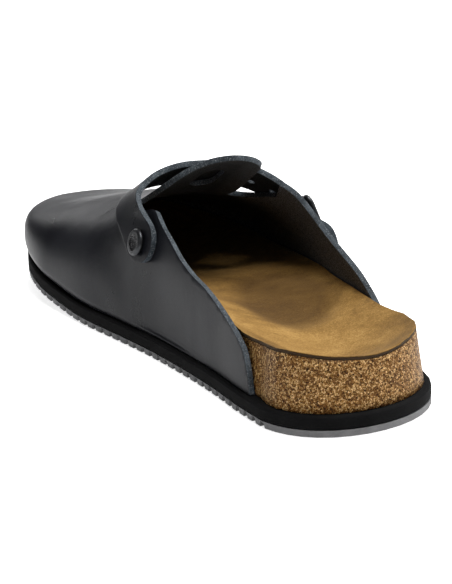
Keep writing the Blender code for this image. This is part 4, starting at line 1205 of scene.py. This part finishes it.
def make_upper():
    columns = np.linspace(-SKIRT_TURN, 180 + SKIRT_TURN, UPPER_COLUMNS) * PATTERN_DEGREE
    nose = 1 - CROWDED_FROM * NOSE_LENGTH / LENGTH
    plain = np.linspace(PATTERN_REAR, nose, UPPER_ROWS)
    crowded = nose + (1 - nose) * np.sin(np.linspace(0, math.pi / 2, NOSE_ROWS))
    rows = np.concatenate([plain, crowded[1:]]) * LENGTH
    collar = opening_outline()
    low_rear = PATTERN_REAR * LENGTH - PAST_REAR
    corners = np.array([[collar[-1][0], low_rear], [collar[0][0], low_rear]])
    cuts = (("collar", np.concatenate([collar, corners]), "DIFFERENCE"),
            ("slot", slot_outline(), "DIFFERENCE"))
    top = cut_sheet("upper_pattern", columns, rows, cuts, UPPER_WELD)
    finish_sheet(top, "leather_upper", pull_upper, LEATHER, flesh_side, "upper")


make_upper()

# %% [markdown]
# ## The instep strap
# The strap is one flat strip with two round ends and three holes. It is cut as the upper is,
# then laid over the last along its own two edges, at the height where it passes the quarters,
# the tab and the buckle.

# %% Sizes and path of the strap
STRAP_LEATHER = 0.0024
BUCKLE_WIRE = 0.0024
BUCKLE_LENGTH = 0.0185
CHAPE_LEATHER = 0.0012
STRAP_START = 0.0075
BAR_AT = 0.1198
EYE_AT = BAR_AT + BUCKLE_LENGTH - BUCKLE_WIRE
STRAP_END = EYE_AT + 0.0117
STRAP_WIDTH = 0.0242
STRAP_WIDTH_AT_BUCKLE = 0.0224
STRAP_TIP = 0.010
TIP_POWER = 2.2
EYE_HEIGHT = GAP + CHAPE_LEATHER + GAP + BUCKLE_WIRE / 2
OVER_EYE = EYE_HEIGHT + BUCKLE_WIRE / 2 + GAP + CHAPE_LEATHER + GAP
STRAP_EDGES = (
    # rear turn, rear along, front turn, front along
    (15.0, 0.436, 13.0, 0.514), (29.5, 0.456, 28.0, 0.530), (34.5, 0.467, 34.0, 0.549),
    (39.0, 0.492, 40.0, 0.570), (45.0, 0.519, 47.0, 0.589), (50.0, 0.538, 54.0, 0.602),
    (56.0, 0.551, 61.0, 0.612), (64.0, 0.558, 68.0, 0.622), (74.0, 0.560, 77.0, 0.631),
    (90.0, 0.556, 91.0, 0.638), (109.0, 0.549, 111.0, 0.633), (121.0, 0.546, 127.0, 0.627),
    (131.0, 0.538, 138.0, 0.617), (138.5, 0.528, 145.5, 0.608), (148.0, 0.517, 153.0, 0.600),
    (159.0, 0.508, 162.0, 0.592), (171.0, 0.504, 173.0, 0.588), (184.0, 0.503, 184.0, 0.587),
)
STRAP_LIFT = (
    # place along the strap, height under its rear edge, how much more under its front edge
    (0.0060, 0.0005, 0.0008),
    (0.0148, 0.0005, 0.0010),
    (0.0210, 0.0008, 0.0012),
    (0.0270, 0.0012, 0.0014),
    (0.0340, 0.0026, 0.0003),
    (0.0400, 0.0031, -0.0001),
    (0.0455, 0.0036, -0.0005),
    (0.0525, 0.0037, -0.0009),
    (0.0610, 0.0031, -0.0007),
    (0.0745, 0.0014, 0.0),
    (0.0935, 0.0010, 0.0002),
    (0.1055, 0.0008, 0.0),
    (BAR_AT, 0.0005, 0.0),
    (BAR_AT + 0.0060, 0.0007, 0.0),
    (BAR_AT + 0.0090, 0.0022, 0.0),
    (BAR_AT + 0.0125, OVER_EYE - 0.0006, 0.0),
    (EYE_AT - 0.0008, OVER_EYE, 0.0),
    (EYE_AT + 0.0020, OVER_EYE, 0.0),
    (EYE_AT + 0.0090, OVER_EYE - 0.0008, 0.0),
    (EYE_AT + 0.0190, OVER_EYE - 0.0026, 0.0),
)
PRONG_HOLE = BAR_AT + 0.0108
PRONG_HOLE_LENGTH = 0.0076
HOLE_WIDTH = 0.0034
NARROWS_AT = BAR_AT - 0.045
SPARE_HOLES = (BAR_AT - 0.012, BAR_AT - 0.022)
print("strap", round((STRAP_END - STRAP_START) * 1000, 1), "mm long")

# %% Cut the strap and lay it over the instep
STRAP_COLUMNS = 150
STRAP_ROWS = 26
STRAP_WELD = 0.0005
STRAP_MARGIN = 0.001
LIFT_STEP = 2e-4
GUIDE_STEPS = 16
END_POINTS, SIDE_POINTS, TIP_POINTS = 14, 40, 12


def strap_guides(place):
    """Turn and share of the strap's two edges at lengths along it."""
    line = through(STRAP_EDGES, GUIDE_STEPS)
    middle = last_surface((line[:, 0] + line[:, 2]) / 2, (line[:, 1] + line[:, 3]) / 2)
    run = np.append(0, np.cumsum(np.linalg.norm(np.diff(middle, axis=0), axis=1)))
    return [np.interp(place, run, line[:, column]) for column in range(4)]


def on_strap(flat):
    """Lays points of the flat strap (along it, towards the toe, up) over the last."""
    flat = np.asarray(flat, float)
    rear_turn, rear_along, front_turn, front_along = strap_guides(flat[:, 0])
    part_way = 0.5 + flat[:, 1] / STRAP_WIDTH
    turn = rear_turn + (front_turn - rear_turn) * part_way
    share = rear_along + (front_along - rear_along) * part_way
    return last_surface(turn, share) + last_normal(turn, share) * flat[:, 2:3]


def oval(centre, length, width):
    """A hole with round ends, longer in x, as an outline."""
    straight = (length - width) / 2
    outline = []
    for start, end in ((-math.pi / 2, 1), (math.pi / 2, -1)):
        for angle in start + HALF_ROUND:
            outline.append((centre + end * straight + math.cos(angle) * width / 2,
                            math.sin(angle) * width / 2))
    return outline[: -1 if straight == 0 else None]


def strap_outline():
    half = STRAP_WIDTH / 2
    round_end = STRAP_START + half * (1 - np.cos(np.linspace(0, math.pi / 2, END_POINTS)))
    plain = np.linspace(round_end[-1], STRAP_END - STRAP_TIP, SIDE_POINTS)[1:]
    tip = STRAP_END - STRAP_TIP * np.cos(np.linspace(0, math.pi / 2, TIP_POINTS))[1:]
    place = np.concatenate([round_end, plain, tip])
    widths = ((0.0, STRAP_WIDTH), (NARROWS_AT, STRAP_WIDTH), (BAR_AT, STRAP_WIDTH_AT_BUCKLE))
    wide = smooth(widths, 1, place, True) / 2
    wide *= rounded(place - STRAP_START, half) * rounded(STRAP_END - place, STRAP_TIP, TIP_POWER)
    lower = np.stack([place, -wide], axis=-1)
    upper_edge = np.stack([place, wide], axis=-1)[::-1]
    return np.concatenate([lower, upper_edge[1:-1]])


def lay_strap(flat):
    place, wide = flat[:, 0], flat[:, 1]
    lift = smooth(STRAP_LIFT, 1, place, True)
    before, after = (smooth(STRAP_LIFT, 1, place + step, True) for step in (-LIFT_STEP, LIFT_STEP))
    tilt = np.arctan((after - before) / (2 * LIFT_STEP))
    extra = smooth(STRAP_LIFT, 2, place, True) * (0.5 + wide / STRAP_WIDTH)
    lean = place - STRAP_LEATHER * np.sin(tilt)
    top = lift + extra + STRAP_LEATHER * np.cos(tilt)
    return on_strap(np.stack([lean, wide, top], axis=-1))


def make_strap():
    columns = np.linspace(STRAP_START - STRAP_MARGIN, STRAP_END + STRAP_MARGIN, STRAP_COLUMNS)
    rows = np.linspace(-STRAP_WIDTH / 2 - STRAP_MARGIN, STRAP_WIDTH / 2 + STRAP_MARGIN, STRAP_ROWS)
    cuts = [("shape", strap_outline(), "INTERSECT"),
            ("prong_hole", oval(PRONG_HOLE, PRONG_HOLE_LENGTH, HOLE_WIDTH), "DIFFERENCE")]
    for i, place in enumerate(SPARE_HOLES):
        cuts.append((f"spare_hole_{i + 1}", oval(place, HOLE_WIDTH, HOLE_WIDTH), "DIFFERENCE"))
    top = cut_sheet("strap_pattern", columns, rows, cuts, STRAP_WELD)
    finish_sheet(top, "instep_strap", lay_strap, STRAP_LEATHER, strap_flesh, "strap")


make_strap()

# %% [markdown]
# ## The two boxes
# The dressed clog is made to lie inside the box of the imported solids, apart from the little
# that leather may stand proud. Both boxes are printed so that they can be compared.

# %% Print both boxes
seen_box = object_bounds()
for label, corners in (("packed", cad_box), ("dressed", seen_box)):
    print(label, [[round(c * 1000, 1) for c in corner] for corner in corners])
